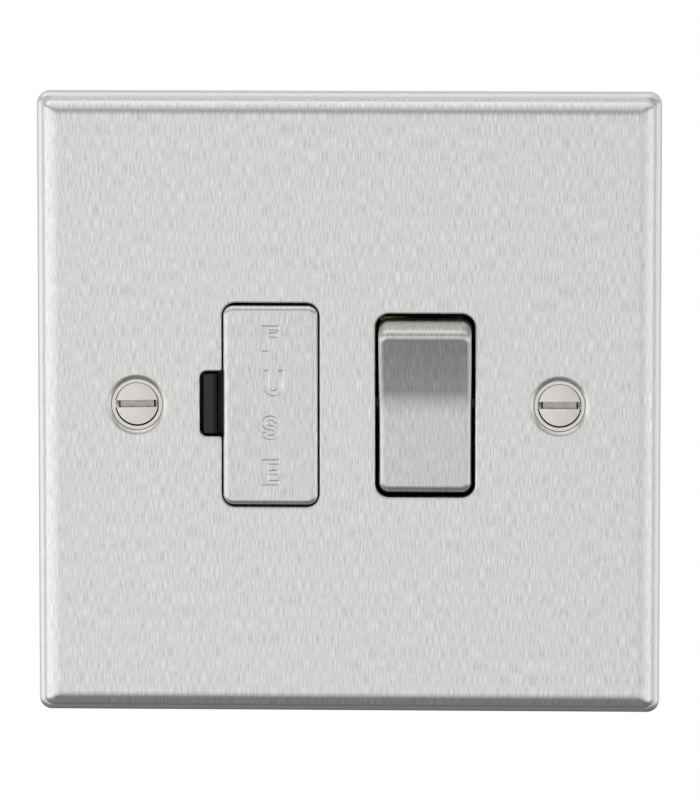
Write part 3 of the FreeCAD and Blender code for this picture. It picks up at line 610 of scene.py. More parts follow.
def word_distance(x, z, cap):
    """Distance to the nearest stroke of the four letters set one under another, negative inside a stroke.

    The first and last letters are a stem with bars, the second two stems on a half ring, and the third two
    ovals' arcs. Level strokes are thinner than upright ones.
    """
    w, h, s = cap.letter_width / 2, cap.letter_height / 2, cap.letter_stroke
    first, second, third, last = (z - k * cap.letter_pitch for k in LETTER_ROWS[::-1])
    thin, stem, wide = s * 0.86, s * 1.35, w * 1.08
    strokes = [square_stroke(x, at, -w, -h, -w + stem, h) for at in (first, last)]
    for at, low, reach in (
        (first, h - thin, w), (first, h - 2.6 * thin, w * 0.8),
        (last, h - thin, w), (last, -thin / 2, w * 0.9), (last, -h, w),
    ):
        strokes.append(square_stroke(x, at, -w, low, reach, low + thin))
    r, shift = wide - s / 2, cap.letter_shift
    foot = r - h + s / 2
    for middle in (shift - r, shift + r):
        strokes.append(square_stroke(x, second, middle - s / 2, foot, middle + s / 2, h))
    strokes.append(bend(x, second, shift, foot, r, r, -pi, 0) - s / 2)
    rx, rz = w - thin / 2, (h * 0.94 - thin / 2) / 2
    for side, start, end in ((1, 25, 270), (-1, -155, 90)):
        strokes.append(bend(x, third, 0, side * rz, rx, rz, radians(start), radians(end)) - thin / 2)
    return np.minimum.reduce(strokes)


def smooth(t):
    """A step from 0 to 1 that starts and ends level."""
    t = np.clip(t, 0, 1)
    return t * t * (3 - 2 * t)


def cap_sides(half_x, half_z, r, coarse, fine_x=(), fine_z=(), fine=None):
    """Places of the points along the straight sides of a cap, a fine step apart in the fine stretches."""

    def places(half, stretches):
        """Shares of one side's length, in order."""
        run = half - r
        at = np.arange(-run + coarse, run - coarse / 2, coarse)
        for low, high in stretches:
            at = at[(at < low - coarse / 3) | (at > high + coarse / 3)]
            at = np.append(at, np.arange(low, high + fine / 2, fine))
        return list((np.sort(at) + run) / (2 * run))

    return places(half_x, fine_x), places(half_z, fine_z)


def cap_outline(half_x, half_z, r, across, up):
    """A cap's outline counted from the middle of its lower left corner, where its patch starts."""
    points, normals = rounded(half_x, half_z, r, CAP_ARC, across, up)
    return np.roll(points, -CAP_ARC // 2, axis=0), np.roll(normals, -CAP_ARC // 2, axis=0)


class SPUR_OT_fuse_cap(bpy.types.Operator):
    """Adds the metal cap of the fuse carrier, with the word FUSE pressed into it"""

    bl_idname = "spur.fuse_cap"
    bl_label = "Fuse cap"

    def execute(self, context):
        """Rolls a band round the cap and closes it with a patch, pressed in where the letters are.

        The press falls smoothly from nothing to the letters' depth over the slope at a stroke's edge.
        """
        cap = context.scene.spur_fuse_cap
        # The points are a fine step apart where the letters are, and up to a margin past them.
        margin, half_word = 0.25 * MM, 1.65 * MM
        fine, coarse = 0.062 * MM, 0.45 * MM
        reach = cap.letter_height / 2 + margin
        letters = [(k * cap.letter_pitch - reach, k * cap.letter_pitch + reach) for k in LETTER_ROWS]
        half_x, half_z = cap.width / 2, cap.height / 2
        word = [(-half_word, half_word)]
        across, up = cap_sides(half_x, half_z, cap.corner, coarse, word, letters, fine)
        points, normals = cap_outline(half_x, half_z, cap.corner, across, up)
        face = -cap.front
        steps = roll(cap.roll, cap.roll, face, 9)
        steps += [(0.0, face + cap.depth)]
        band = rows(points, normals, steps)
        top = patch(band[0][:, [0, 2]], CAP_ARC + len(across) + 1)
        away = word_distance(top[..., 0], top[..., 1], cap)
        pressed = cap.letter_depth * smooth(0.5 - away / cap.letter_soft)
        lid = np.stack([top[..., 0], face + pressed, top[..., 1]], axis=-1)
        shift = np.array([cap.middle, 0.0, 0.0])
        sheets = [(lid + shift, False, METAL), (band + shift, True, METAL)]
        grain = (cap.middle, half_x, half_z, (-half_z, half_z), (face, face))
        piece = make("fuse_cap_metal", sheets, [brushed_cap()], grain=grain)
        shell(piece, cap.sheet)
        even_shading(piece)
        place(piece, "fuse_drawer", ["fuse_cap"])
        return {"FINISHED"}


def rocker_height(z, rocker):
    """Height over the pins: two flats that rise from the valley, which is an arc tangent to both.

    Each flat sags by a parabola that starts where the arc ends: its slope is a little more than the tilt's at
    the end and a little less at the valley.
    """
    r, a = rocker.valley_r, rocker.tilt
    z = z - rocker.valley_shift
    foot = r * sin(a)
    run = rocker.half_length - foot
    share = np.clip((np.abs(z) - foot) / run, 0, 1.2)
    inside = rocker.valley + r / cos(a) - np.sqrt(np.maximum(r * r - np.square(z), 0))
    flat = rocker.valley + np.abs(z) * tan(a) - 4 * rocker.bow * share * (1 - share)
    return np.where(np.abs(z) < foot, inside, flat)


def rolled_edge(start, edge, end, turn):
    """Arcs from start to end that are tangent there to the lines to edge, each through its own turn.

    Each is a rational curve of the second degree, with the cosine of half the turn as the edge's weight.
    """
    s = np.linspace(0, 1, 10)[:, None, None]
    weight = 2 * s * (1 - s) * np.cos(turn / 2)[None, :, None]
    whole = (1 - s) ** 2 + weight + s**2
    return ((1 - s) ** 2 * start + weight * edge + s**2 * end) / whole


def tilted(height, along, rocker):
    """Depth y and height z of points of the rocker, turned about the pins by the tilt at rest."""
    c, s = cos(rocker.tilt), sin(rocker.tilt)
    return rocker.pivot - height * c - along * s, along * c - height * s


class SPUR_OT_rocker_cap(bpy.types.Operator):
    """Adds the metal cap of the rocker: two flats in a shallow valley, with ends that turn about the pins"""

    bl_idname = "spur.rocker_cap"
    bl_label = "Rocker cap"

    def execute(self, context):
        """Works the cap out level, with x, z and the height over the pins, and then tilts it.

        The rolled edge leaves the face at the face's slope and meets the wall at its lean. Its radius goes
        from the sides' to the ends' with the square of the normal's part along the cap.
        """
        rocker = context.scene.spur_rocker
        coarse = 0.35 * MM
        half_x, half_z, corner = rocker.width / 2, rocker.half_length, rocker.corner
        across, up = cap_sides(half_x, half_z, corner, coarse)
        end_height = rocker.valley + half_z * tan(rocker.tilt)
        end_r = sqrt(half_z**2 + end_height**2)

        def at_height(height):
            """The cap's outline at a height: its ends keep to a circle about the pins."""
            reach = np.sqrt(end_r**2 - np.square(height))
            points, normals = cap_outline(half_x, half_z, corner, across, up)
            side = np.clip(points[:, 1] / (half_z - corner), -1, 1)
            z = points[:, 1] + side * (reach - half_z)
            return np.broadcast_to(points[:, 0], z.shape), z, normals

        _, z, _ = at_height(end_height)
        x, z, normals = at_height(rocker_height(z, rocker))
        height = rocker_height(z, rocker)
        endwise = normals[:, 1] ** 2
        r = rocker.side_roll * (1 - endwise) + rocker.end_roll * endwise
        rise = tan(rocker.tilt) + 4 * rocker.bow / (half_z - rocker.valley_r * sin(rocker.tilt))
        slope = rise * np.abs(normals[:, 1])
        lean = end_height / half_z * endwise
        face_angle, wall_angle = np.arctan(slope), np.arctan(lean)
        turn = pi / 2 + face_angle - wall_angle
        reach = r * np.tan(turn / 2)
        in_x = x - normals[:, 0] * reach * np.cos(face_angle)
        in_z = z - normals[:, 1] * reach * np.cos(face_angle)
        start = np.stack([in_x, in_z, rocker_height(in_z, rocker)], axis=-1)
        wall_top = height - reach * np.cos(wall_angle)
        x2, z2, _ = at_height(wall_top)
        end = np.stack([x2, z2, wall_top], axis=-1)
        edge = np.stack([x, z, start[:, 2] + reach * np.sin(face_angle)], axis=-1)
        turned = rolled_edge(start, edge, end, turn)
        v = np.linspace(0, 1, 7)[:, None]
        heights = wall_top[None] * (1 - v) + rocker.low * v
        xw, zw, _ = at_height(heights)
        wall = np.stack([xw, zw, heights], axis=-1)
        top = patch(start[:, :2], CAP_ARC + len(across) + 1)
        lid = np.stack([top[..., 0], top[..., 1], rocker_height(top[..., 1], rocker)], axis=-1)
        sheets = []
        for grid, closed in ((lid, False), (turned, True), (wall, True)):
            y, z = tilted(grid[..., 2], grid[..., 1], rocker)
            sheets.append((np.stack([grid[..., 0] + rocker.middle, y, z], axis=-1), closed, METAL))
        along = np.linspace(-half_z, half_z, 60)
        y, z = tilted(rocker_height(along, rocker), along, rocker)
        grain = (rocker.middle, half_x, half_z, z, y)
        piece = make("rocker_cap_metal", sheets, [brushed_rocker()], grain=grain)
        shell(piece, rocker.sheet)
        even_shading(piece)
        place(piece, "rocker", ["rocker_cap"])
        return {"FINISHED"}


def slotted_head(radius, crown, rim, slot, floor, side, below, cut=METAL):
    """A round head with a driver slot: two domed halves, the slot's walls and floor, and what is under it.

    Each half is ruled from the slot's edge to the rim, on a ball's cap of the crown's height: its height is
    the root of the ball's radius squared less the distance squared, less what that is at the rim. side gives
    the radius at a depth under the rim, and the walls end where that radius does. The floor runs to the same
    circle, and below is a profile of radii and depths that is turned round from there. cut is the slot's
    finish. Depths are under the rim; the head looks to -y.
    """
    half = slot / 2
    c = np.linspace(-1, 1, 41)
    ball = (radius**2 + crown**2) / (2 * crown) if crown else None

    def dome(r):
        """Depth of the domed face at a distance from the middle."""
        return -(np.sqrt(ball**2 - r**2) - (ball - crown)) if crown else np.zeros_like(r)

    def arc(depth):
        """Points on the circle at a depth, between the slot's two walls."""
        r = side(depth)
        phi = pi / 2 - c * (pi / 2 - np.arcsin(half / r))
        return r * np.cos(phi), r * np.sin(phi)

    v = np.linspace(0, 1, 9)[:, None]
    arc_x, arc_z = arc(0.0)
    chord = c * sqrt(radius**2 - half**2)
    x, z = (1 - v) * chord + v * arc_x, (1 - v) * half + v * arc_z
    lid = np.stack([x, dome(np.hypot(x, z)), z], axis=-1)
    down = np.linspace(0, 1, 6)[:, None]
    cheek_x, cheek_z = arc(floor * down)
    cheek = np.stack([cheek_x, np.broadcast_to(floor * down, cheek_x.shape), cheek_z], axis=-1)
    x = c * np.sqrt(side(floor * down) ** 2 - half**2)
    falling = dome(np.hypot(chord, half)) * (1 - down) + floor * down
    wall = np.stack([x, falling, np.full_like(x, half)], axis=-1)
    s = np.linspace(-1, 1, 7)[:, None] * half
    floor_r = side(np.array(floor))
    x = c * np.sqrt(floor_r**2 - s**2)
    bed = np.stack([x, np.full_like(x, floor), np.broadcast_to(s, x.shape)], axis=-1)
    parts = [(bed, False, cut)]
    for grid, finish in ((lid, METAL), (cheek, METAL), (wall, cut)):
        parts += [(grid, False, finish), (grid * (-1, 1, -1), False, finish)]
    end = np.arcsin(half / floor_r)
    upper = pi / 2 - c[::-1] * (pi / 2 - end)
    gap = np.arcsin(s[::-1, 0] / floor_r)[1:-1]
    angles = np.concatenate([upper, pi - gap, upper + pi, gap[::-1]])
    parts.append((revolve([(floor_r, floor)] + below, angles, (0, 0, 0)), True, METAL))
    return [(grid + (0, rim, 0), closed, finish) for grid, closed, finish in parts]


def straight(radius):
    """The side of a head that keeps its radius at every depth."""
    return lambda depth: radius + 0 * depth


def thread(crest, root, start, end, pitch):
    """A screw thread: a helical grid whose rows follow the turns, closed by a flat at each end.

    Four rows a turn carry root, flank, crest and flank. A point's place along the screw is its row's plus a
    pitch times its share of the turn, held between the ends, and the radius falls to the root at both.
    """
    shape = np.array([(0.0, 0.0), (0.28, 1.0), (0.44, 1.0), (0.72, 0.0)])
    turns = int((end - start) / pitch) + 3
    along = (np.arange(-2, turns)[:, None] + shape[None, :, 0]).ravel() * pitch
    high = np.tile(shape[:, 1], turns + 2)
    theta = np.linspace(0, 2 * pi, 41)
    y = np.clip(start + along[:, None] + pitch * theta[None] / (2 * pi), start, end)
    fade = smooth((y - start) / pitch) * smooth((end - y) / pitch)
    r = root + (crest - root) * high[:, None] * fade
    grid = np.stack([r * np.cos(theta), y, r * np.sin(theta)], axis=-1)
    first, last = grid[:1] * (0, 1, 0), grid[-1:] * (0, 1, 0)
    return np.concatenate([first, grid, last])


def wear_edges(piece, limit, width, crisp=0.8):
    """Rounds the edges that lie in front of a depth and turn by more than a crisp angle in radians."""
    work = bmesh.new()
    work.from_mesh(piece.data)
    layer = work.edges.layers.float.new("bevel_weight_edge")
    for edge in work.edges:
        if len(edge.link_faces) == 2 and edge.calc_face_angle() > crisp:
            if max(v.co.y for v in edge.verts) < limit:
                edge[layer] = 1.0
    work.to_mesh(piece.data)
    work.free()
    soft = piece.modifiers.new("worn edges", "BEVEL")
    soft.limit_method = "WEIGHT"
    soft.width = width
    soft.segments = 3


def placed(sheets, x, z, turn=0.0):
    """Sheets turned about the axis along y and moved to their place."""
    c, s = cos(turn), sin(turn)
    moved = []
    for grid, closed, finish in sheets:
        across, up = grid[..., 0], grid[..., 2]
        grid = np.stack([across * c + up * s + x, grid[..., 1], up * c - across * s + z], axis=-1)
        moved.append((grid, closed, finish))
    return moved


class SPUR_OT_fixing_screws(bpy.types.Operator):
    """Adds the two slotted fixing screws with their threads"""

    bl_idname = "spur.fixing_screws"
    bl_label = "Fixing screws"

    def execute(self, context):
        plate, screw = context.scene.spur_plate, context.scene.spur_screws
        rim = screw.rim - plate.proud
        # Only edges in front of this depth, those of the head, are worn round.
        worn_to = -0.1 * MM

        def side(depth):
            """Radius of the head at a depth under its rim."""
            return screw.head - screw.taper * depth

        neck = (screw.head - screw.neck) / screw.taper
        below = [(screw.neck, neck), (screw.neck, screw.neck_end - rim), (0.0, screw.neck_end - rim)]
        head = slotted_head(screw.head, screw.crown, rim, screw.slot, screw.slot_depth, side, below, CUT)
        root = screw.shank - screw.thread
        shank = (thread(screw.shank, root, 0.0, screw.shank_length, screw.pitch), False, METAL)
        # The second finish, on the slot's floor and walls, carries painted shade in its colour.
        finishes = [polished_nickel(), cut_nickel_painted_shade()]
        for name, hand, turn in (("left", -1, screw.left_turn), ("right", 1, 0.0)):
            sheets = placed(head + [shank], hand * plate.pitch / 2, screw.above, -turn)
            piece = make("fixing_screw_" + name + "_steel", sheets, finishes, sharp=40.0)
            wear_edges(piece, worn_to, screw.edge)
            even_shading(piece)
            place(piece, "unit", ["fixing_screw_" + name])
        return {"FINISHED"}


def facing_back(sheets, end):
    """Sheets made looking to -y, turned to look to +y with their rim at a depth."""
    return [(grid * (1, -1, -1) + (0, end, 0), closed, finish) for grid, closed, finish in sheets]


class SPUR_OT_small_screws(bpy.types.Operator):
    """Adds the terminal screws and the two screws that hold the mouldings together"""

    bl_idname = "spur.small_screws"
    bl_label = "Terminal and assembly screws"

    def execute(self, context):
        sizes = context.scene.spur_small_screws
        low, high = (Vector(c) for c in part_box("assembly_screws"))
        r, head = sizes.head, sizes.head_depth
        x, z = high.x - r, high.z - r
        neck_end = head + sizes.neck_length
        below = [(r, head), (sizes.neck, head), (sizes.neck, neck_end), (0.0, neck_end)]
        top = slotted_head(r, sizes.crown, 0.0, sizes.slot, sizes.slot_depth, straight(r), below)
        top = facing_back(top, high.y - sizes.crown)
        end = high.y - head - sizes.crown
        turns = thread(sizes.shank, sizes.shank - sizes.thread, low.y, end, sizes.pitch)
        screw = top + [(turns, False, METAL)]
        sheets = placed(screw, -x, z) + placed(screw, x, -z)
        piece = make("assembly_screws_steel", sheets, [zinc_plate()], sharp=40.0)
        place(piece, "unit", ["assembly_screws"])

        low, high = (Vector(c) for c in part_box("terminal_screws"))
        tip, depth = sizes.tip, sizes.tip_length
        below = [(tip, depth), (0.0, depth)]
        top = slotted_head(tip, 0.0, 0.0, sizes.grub_slot, sizes.grub_slot_depth, straight(tip), below)
        # The thread ends a little inside the smooth end.
        end = high.y - 0.9 * depth
        turns = thread(sizes.grub, sizes.grub - sizes.grub_thread, low.y, end, sizes.grub_pitch)
        screw = facing_back(top, high.y) + [(turns, False, METAL)]
        sheets = []
        for i, node in enumerate(TERMINALS):
            a, b = (Vector(c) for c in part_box(node))
            sheets += placed(screw, (a.x + b.x) / 2, (a.z + b.z) / 2, turn=i * sizes.turn)
        piece = make("terminal_screws_steel", sheets, [zinc_plate()], sharp=40.0)
        place(piece, "unit", ["terminal_screws"])
        return {"FINISHED"}


class SPUR_OT_cartridge_fuse(bpy.types.Operator):
    """Adds the cartridge fuse: a glazed tube and two pressed end caps"""

    bl_idname = "spur.cartridge_fuse"
    bl_label = "Cartridge fuse"

    def execute(self, context):
        """Turns each profile about the fuse's axis. Its outer edge is a quarter round of the edge radius."""
        fuse, cap = context.scene.spur_fuse, context.scene.spur_fuse_cap
        half = fuse.length / 2
        body = half - fuse.wall

        def end(r, z):
            """The profile of a rounded end, from the axis to the radius r, with its face at z."""
            a = np.linspace(0, pi / 2, 7)
            return [(0.0, z)] + [(r - fuse.edge * (1 - sin(t)), z - fuse.edge * (1 - cos(t))) for t in a]

        def turned(profile):
            """The one sheet of a profile turned about the fuse's axis."""
            return [(revolve(profile, around(ROUND), (cap.middle, fuse.depth, 0.0), "z"), True, METAL)]

        half_line = end(fuse.tube_r, body)
        profile = half_line + [(r, -z) for r, z in reversed(half_line)]
        piece = make("fuse_tube_ceramic", turned(profile), [glazed_ceramic()])
        place(piece, "fuse_drawer", ["fuse_tube"])
        mouth, bore = half - fuse.end_length, fuse.tube_r + fuse.play
        cup = end(fuse.end_r, half) + [(fuse.end_r, mouth + fuse.lip), (fuse.end_r - fuse.lip, mouth)]
        cup += [(bore, mouth), (bore, body), (0.0, body)]
        for name, side in (("top", 1), ("bottom", -1)):
            sheets = turned([(r, side * z) for r, z in cup])
            piece = make("fuse_end_cap_" + name + "_metal", sheets, [polished_nickel()], sharp=40.0)
            place(piece, "fuse_drawer", ["fuse_end_cap_" + name])
        return {"FINISHED"}


class SPUR_OT_springs(bpy.types.Operator):
    """Adds the two plunger springs, of round wire with closed end turns"""

    bl_idname = "spur.springs"
    bl_label = "Springs"

    def execute(self, context):
        """Carries a ring along a helix, whose height falls more slowly at the ends: the end turns close up."""
        spring, rocker = context.scene.spur_springs, context.scene.spur_rocker
        t = np.linspace(0, 1, spring.turns * 32 + 1)
        ease = (1 - spring.closing) * t + spring.closing * smooth(t)
        height = spring.top + (spring.bottom - spring.top) * ease
        turn = 2 * pi * spring.turns * t
        phi = around(12)[None, :]
        out = spring.coil_r + spring.wire_r * np.cos(phi)
        level = height[:, None] + spring.wire_r * np.sin(phi)
        x, z = out * np.cos(turn)[:, None], out * np.sin(turn)[:, None]
        ring = np.stack([x, level, z], axis=-1)
        ends = ring[[0, -1]].mean(axis=1, keepdims=True)
        first, last = (np.broadcast_to(e, (1,) + ring.shape[1:]) for e in ends)
        coil = np.concatenate([first, ring, last])
        y, z = tilted(coil[..., 1], coil[..., 2], rocker)
        for name, hand in (("live", -1), ("neutral", 1)):
            x = coil[..., 0] + rocker.middle + hand * spring.spacing / 2
            sheets = [(np.stack([x, y, z], axis=-1), True, METAL)]
            piece = make(name + "_spring_wire", sheets, [spring_wire()], sharp=60.0)
            place(piece, "rocker", [name + "_spring"])
        return {"FINISHED"}


class Tree:
    """A node tree, built up a node at a time."""

    def __init__(self, tree):
        self.tree = tree

    def node(self, kind, links=(), **values):
        """Adds a node with its settings, and with a link or a plain value for each socket named."""
        made = self.tree.nodes.new(kind)
        for key, value in values.items():
            setattr(made, key, value)
        for socket, source in links:
            if hasattr(source, "is_output"):
                self.tree.links.new(source, made.inputs[socket])
            else:
                made.inputs[socket].default_value = source
        return made.outputs[0]

    def times(self, a, b):
        """One value times another."""
        return self.node("ShaderNodeMath", [(0, a), (1, b)], operation="MULTIPLY")

    def ramp(self, value, stops):
        """Half the level that stops give: each is a place from -1 to 1 and a level from 0 to 2."""
        share = self.node("ShaderNodeMapRange", [("Value", value), ("From Min", -1.0), ("From Max", 1.0)])
        grey = self.node("ShaderNodeValToRGB", [(0, share)])
        elements = grey.node.color_ramp.elements
        for k, (at, level) in enumerate(stops):
            spot = (at + 1) / 2
            stop = elements[k] if k < 2 else elements.new(spot)
            stop.position = spot
            stop.color = (level / 2, level / 2, level / 2, 1.0)
        return grey


class Nodes(Tree):
    """A material's node tree, which starts from the object's own coordinates."""

    def __init__(self, name):
        self.made = bpy.data.materials.new(name)
        self.made.use_nodes = True
        super().__init__(self.made.node_tree)
        self.shader = self.tree.nodes["Principled BSDF"]
        self.spot = self.node("ShaderNodeTexCoord").node.outputs["Object"]

    def noise(self, scale, detail=2.0, roughness=0.5, spot=None):
        """Noise with so many waves a metre, the same each way or one number for each axis."""
        scale = scale if isinstance(scale, tuple) else (scale,) * 3
        spread = self.node("ShaderNodeMapping", [("Vector", spot or self.spot), ("Scale", scale)])
        links = [("Vector", spread), ("Scale", 1.0), ("Detail", detail), ("Roughness", roughness)]
        return self.node("ShaderNodeTexNoise", links)

    def between(self, value, low, high, low_in=0.3, high_in=0.7):
        """A value carried from one range to another."""
        links = [("Value", value), ("From Min", low_in), ("From Max", high_in)]
        return self.node("ShaderNodeMapRange", links + [("To Min", low), ("To Max", high)])

    def scaled(self, base, factor):
        """The base colour times a factor that changes from place to place."""
        return self.node("ShaderNodeVectorMath", [(0, (*base,)), (1, factor)], operation="MULTIPLY")

    def bump(self, height, strength, distance):
        """Relief whose height is the value times the distance in metres, as strong as strength says."""
        links = [("Height", height), ("Strength", strength), ("Distance", distance)]
        return self.node("ShaderNodeBump", links)

    def link(self, socket, source):
        """Links a value to a socket of the shader."""
        self.tree.links.new(source, self.shader.inputs[socket])

    def set(self, **values):
        """Sets sockets of the shader that are the same all over."""
        for key, value in values.items():
            self.shader.inputs[key.replace("_", " ")].default_value = value


def made_once(function):
    """Keeps one copy of a finish, made the first time that it is asked for."""
    name = function.__name__ + "_finish"

    def get():
        return bpy.data.materials.get(name) or function(Nodes(name), bpy.context.scene.spur_colours)

    get.__doc__ = function.__doc__
    return get


def brushed(m, base):
    """Satin metal brushed up and down: short fine streaks in the colour, and a gloss that blurs sideways."""
    brushing = m.node("ShaderNodeUVMap", uv_map="grain")
    fine = m.noise((7000.0, 520.0, 1.0), 2.0, 0.5, brushing)
    long = m.noise((1500.0, 45.0, 1.0), 2.0, 0.5, brushing)
    tone = m.times(m.between(fine, 0.79, 1.21, 0.28, 0.72), m.between(long, 0.98, 1.02))
    m.link("Base Color", m.scaled(base, tone))
    m.link("Roughness", m.between(long, 0.27, 0.33))
    m.link("Normal", m.bump(fine, 0.06, 0.00002))
    m.link("Tangent", m.node("ShaderNodeTangent", direction_type="UV_MAP", uv_map="grain"))
    m.set(Metallic=1.0, Anisotropic=0.55)
    return m.made


@made_once
def brushed_metal(m, colours):
    """Brushed metal of the plate."""
    return brushed(m, colours.steel)


@made_once
def drawn_edge(m, colours):
    """The plate's narrow outer edge, drawn but not brushed: an even satin with a slight haze."""
    haze = m.noise(700.0, 3.0, 0.6)
    m.link("Base Color", m.scaled(colours.steel, m.between(haze, 0.94, 1.0)))
    m.link("Roughness", m.between(haze, 0.26, 0.34))
    m.link("Normal", m.bump(haze, 0.05, 0.00003))
    m.set(Metallic=1.0)
    return m.made


@made_once
def brushed_cap(m, colours):
    """Brushed metal of the fuse cap."""
    return brushed(m, colours.cap_steel)


@made_once
def brushed_rocker(m, colours):
    """Brushed metal of the rocker's cap."""
    return brushed(m, colours.rocker_steel)


@made_once
def polished_nickel(m, colours):
    """Bright plated metal with faint turning marks and a little haze."""
    haze = m.noise(900.0, 3.0, 0.6)
    m.link("Base Color", m.scaled(colours.nickel, m.between(haze, 0.95, 1.03)))
    m.link("Roughness", m.between(haze, 0.11, 0.19))
    m.link("Normal", m.bump(m.noise(3000.0, 2.0), 0.02, 0.00002))
    m.set(Metallic=1.0)
    return m.made


@made_once
def cut_nickel_painted_shade(m, colours):
    """The sawn slot: rough and dull, with dirt in the tool marks."""
    marks = m.noise((1800.0, 600.0, 1800.0), 4.0, 0.7)
    # Painted shade: the slot's colour falls to half of the nickel in places, darker than the rest of the head.
    m.link("Base Color", m.scaled(colours.nickel, m.between(marks, 0.5, 1.0)))
    m.link("Roughness", m.between(marks, 0.35, 0.6))
    m.link("Normal", m.bump(marks, 0.3, 0.00006))
    m.set(Metallic=1.0)
    return m.made


def moulding(m, base, gloss_low, gloss_high, grain):
    """Moulded plastic: fine spark-erosion grain in the relief, and gloss and colour that drift a little."""
    drift = m.noise(160.0, 3.0)
    fine = m.noise(grain, 2.0)
    m.link("Base Color", m.scaled(base, m.between(drift, 0.88, 1.12)))
    m.link("Roughness", m.between(drift, gloss_low, gloss_high))
    m.link("Normal", m.bump(fine, 0.12, 0.00003))
    return m.made


@made_once
def black_moulding(m, colours):
    """Satin black moulding of the base, the insert and the drawer."""
    return moulding(m, colours.black, 0.40, 0.50, 5000.0)


@made_once
def black_rocker(m, colours):
    """Glossier black moulding of the rocker's body and its plungers."""
    return moulding(m, colours.rocker, 0.28, 0.36, 3500.0)


def worked_metal(m, base, low, high, streak):
    """Stamped or turned metal: streaks along one direction, dull patches and a little relief."""
    lines = m.noise(streak, 3.0, 0.55)
    patches = m.noise(220.0, 4.0, 0.6)
    tone = m.times(m.between(lines, 0.93, 1.06), m.between(patches, 0.86, 1.04))
    m.link("Base Color", m.scaled(base, tone))
    m.link("Roughness", m.between(patches, high, low))
    m.link("Normal", m.bump(lines, 0.08, 0.00003))
    m.set(Metallic=1.0)
    return m.made


@made_once
def brass(m, colours):
    """Stamped and sawn brass, dulled in patches."""
    return worked_metal(m, colours.brass, 0.24, 0.40, (2600.0, 400.0, 2600.0))


@made_once
def contact_brass(m, colours):
    """Rolled brass strip of the contact arms, with a brighter face."""
    return worked_metal(m, colours.brass, 0.18, 0.30, (3600.0, 3600.0, 220.0))


@made_once
def zinc_plate(m, colours):
    """Zinc plated steel of the small screws."""
    return worked_metal(m, colours.zinc, 0.28, 0.42, 1800.0)


@made_once
def spring_wire(m, colours):
    """Drawn spring wire with fine lengthwise marks."""
    return worked_metal(m, colours.spring, 0.25, 0.38, (5000.0, 900.0, 5000.0))


@made_once
def glazed_ceramic(m, colours):
    """Glazed white ceramic with faint specks and a slightly uneven glaze."""
    specks = m.noise(1400.0, 4.0, 0.7)
    m.link("Base Color", m.scaled(colours.ceramic, m.between(specks, 0.93, 1.03)))
    m.link("Roughness", m.between(m.noise(200.0), 0.16, 0.26))
    m.link("Normal", m.bump(m.noise(260.0, 2.0), 0.15, 0.00005))
    m.set(Coat_Weight=0.4, Coat_Roughness=0.08)
    return m.made


# The solids that are kept as they are, with their finish.
TERMINALS = (
    "supply_earth_terminal", "supply_live_terminal", "supply_neutral_terminal",
    "load_live_terminal", "load_earth_terminal", "load_neutral_terminal",
)
FINISHES = (
    (black_moulding, ("front_moulding", "rear_base", "fuse_carrier")),
    (black_rocker, ("rocker_dolly", "live_plunger", "neutral_plunger")),
    (brass, TERMINALS + ("earth_strap", "fuse_clip_supply", "fuse_clip_load")),
    (contact_brass, (
        "live_contact_arm", "neutral_contact_arm", "live_fixed_contact", "neutral_fixed_contact",
        "live_contact_support", "neutral_contact_support",
    )),
)


class SPUR_OT_finishes(bpy.types.Operator):
    """Gives the solids that are kept as they are the finish of their material"""

    bl_idname = "spur.finishes"
    bl_label = "Finishes of the inner parts"

    def execute(self, context):
        for look, names in FINISHES:
            for name in names:
                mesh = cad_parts[name].data
                mesh.materials.clear()
                mesh.materials.append(look())
        return {"FINISHED"}


# Levels of the studio's light by height and by side, and of the backdrop that metal mirrors, by height.
# Each is a place from -1 to 1 and a level.
SKY = (
    (-1.0, 0.24), (-0.87, 0.24), (-0.74, 0.20), (-0.65, 0.24), (-0.60, 0.37), (-0.53, 0.54), (-0.38, 0.76),
    (-0.26, 0.89), (-0.12, 0.95), (0.0, 0.91), (0.09, 0.80), (0.26, 0.58), (0.38, 0.36), (0.50, 0.50),
    (0.59, 0.70), (0.75, 0.87), (0.90, 1.02), (1.0, 1.16),
)
SIDES = (
    (-1.0, 1.38), (-0.45, 1.24), (-0.20, 1.08), (-0.03, 0.99), (0.10, 0.85), (0.35, 0.82), (0.80, 1.12),
    (1.0, 1.22),
)
BACKDROP = ((-1.0, 0.15), (-0.40, 0.18), (-0.12, 0.70), (0.30, 0.74), (1.0, 0.74))


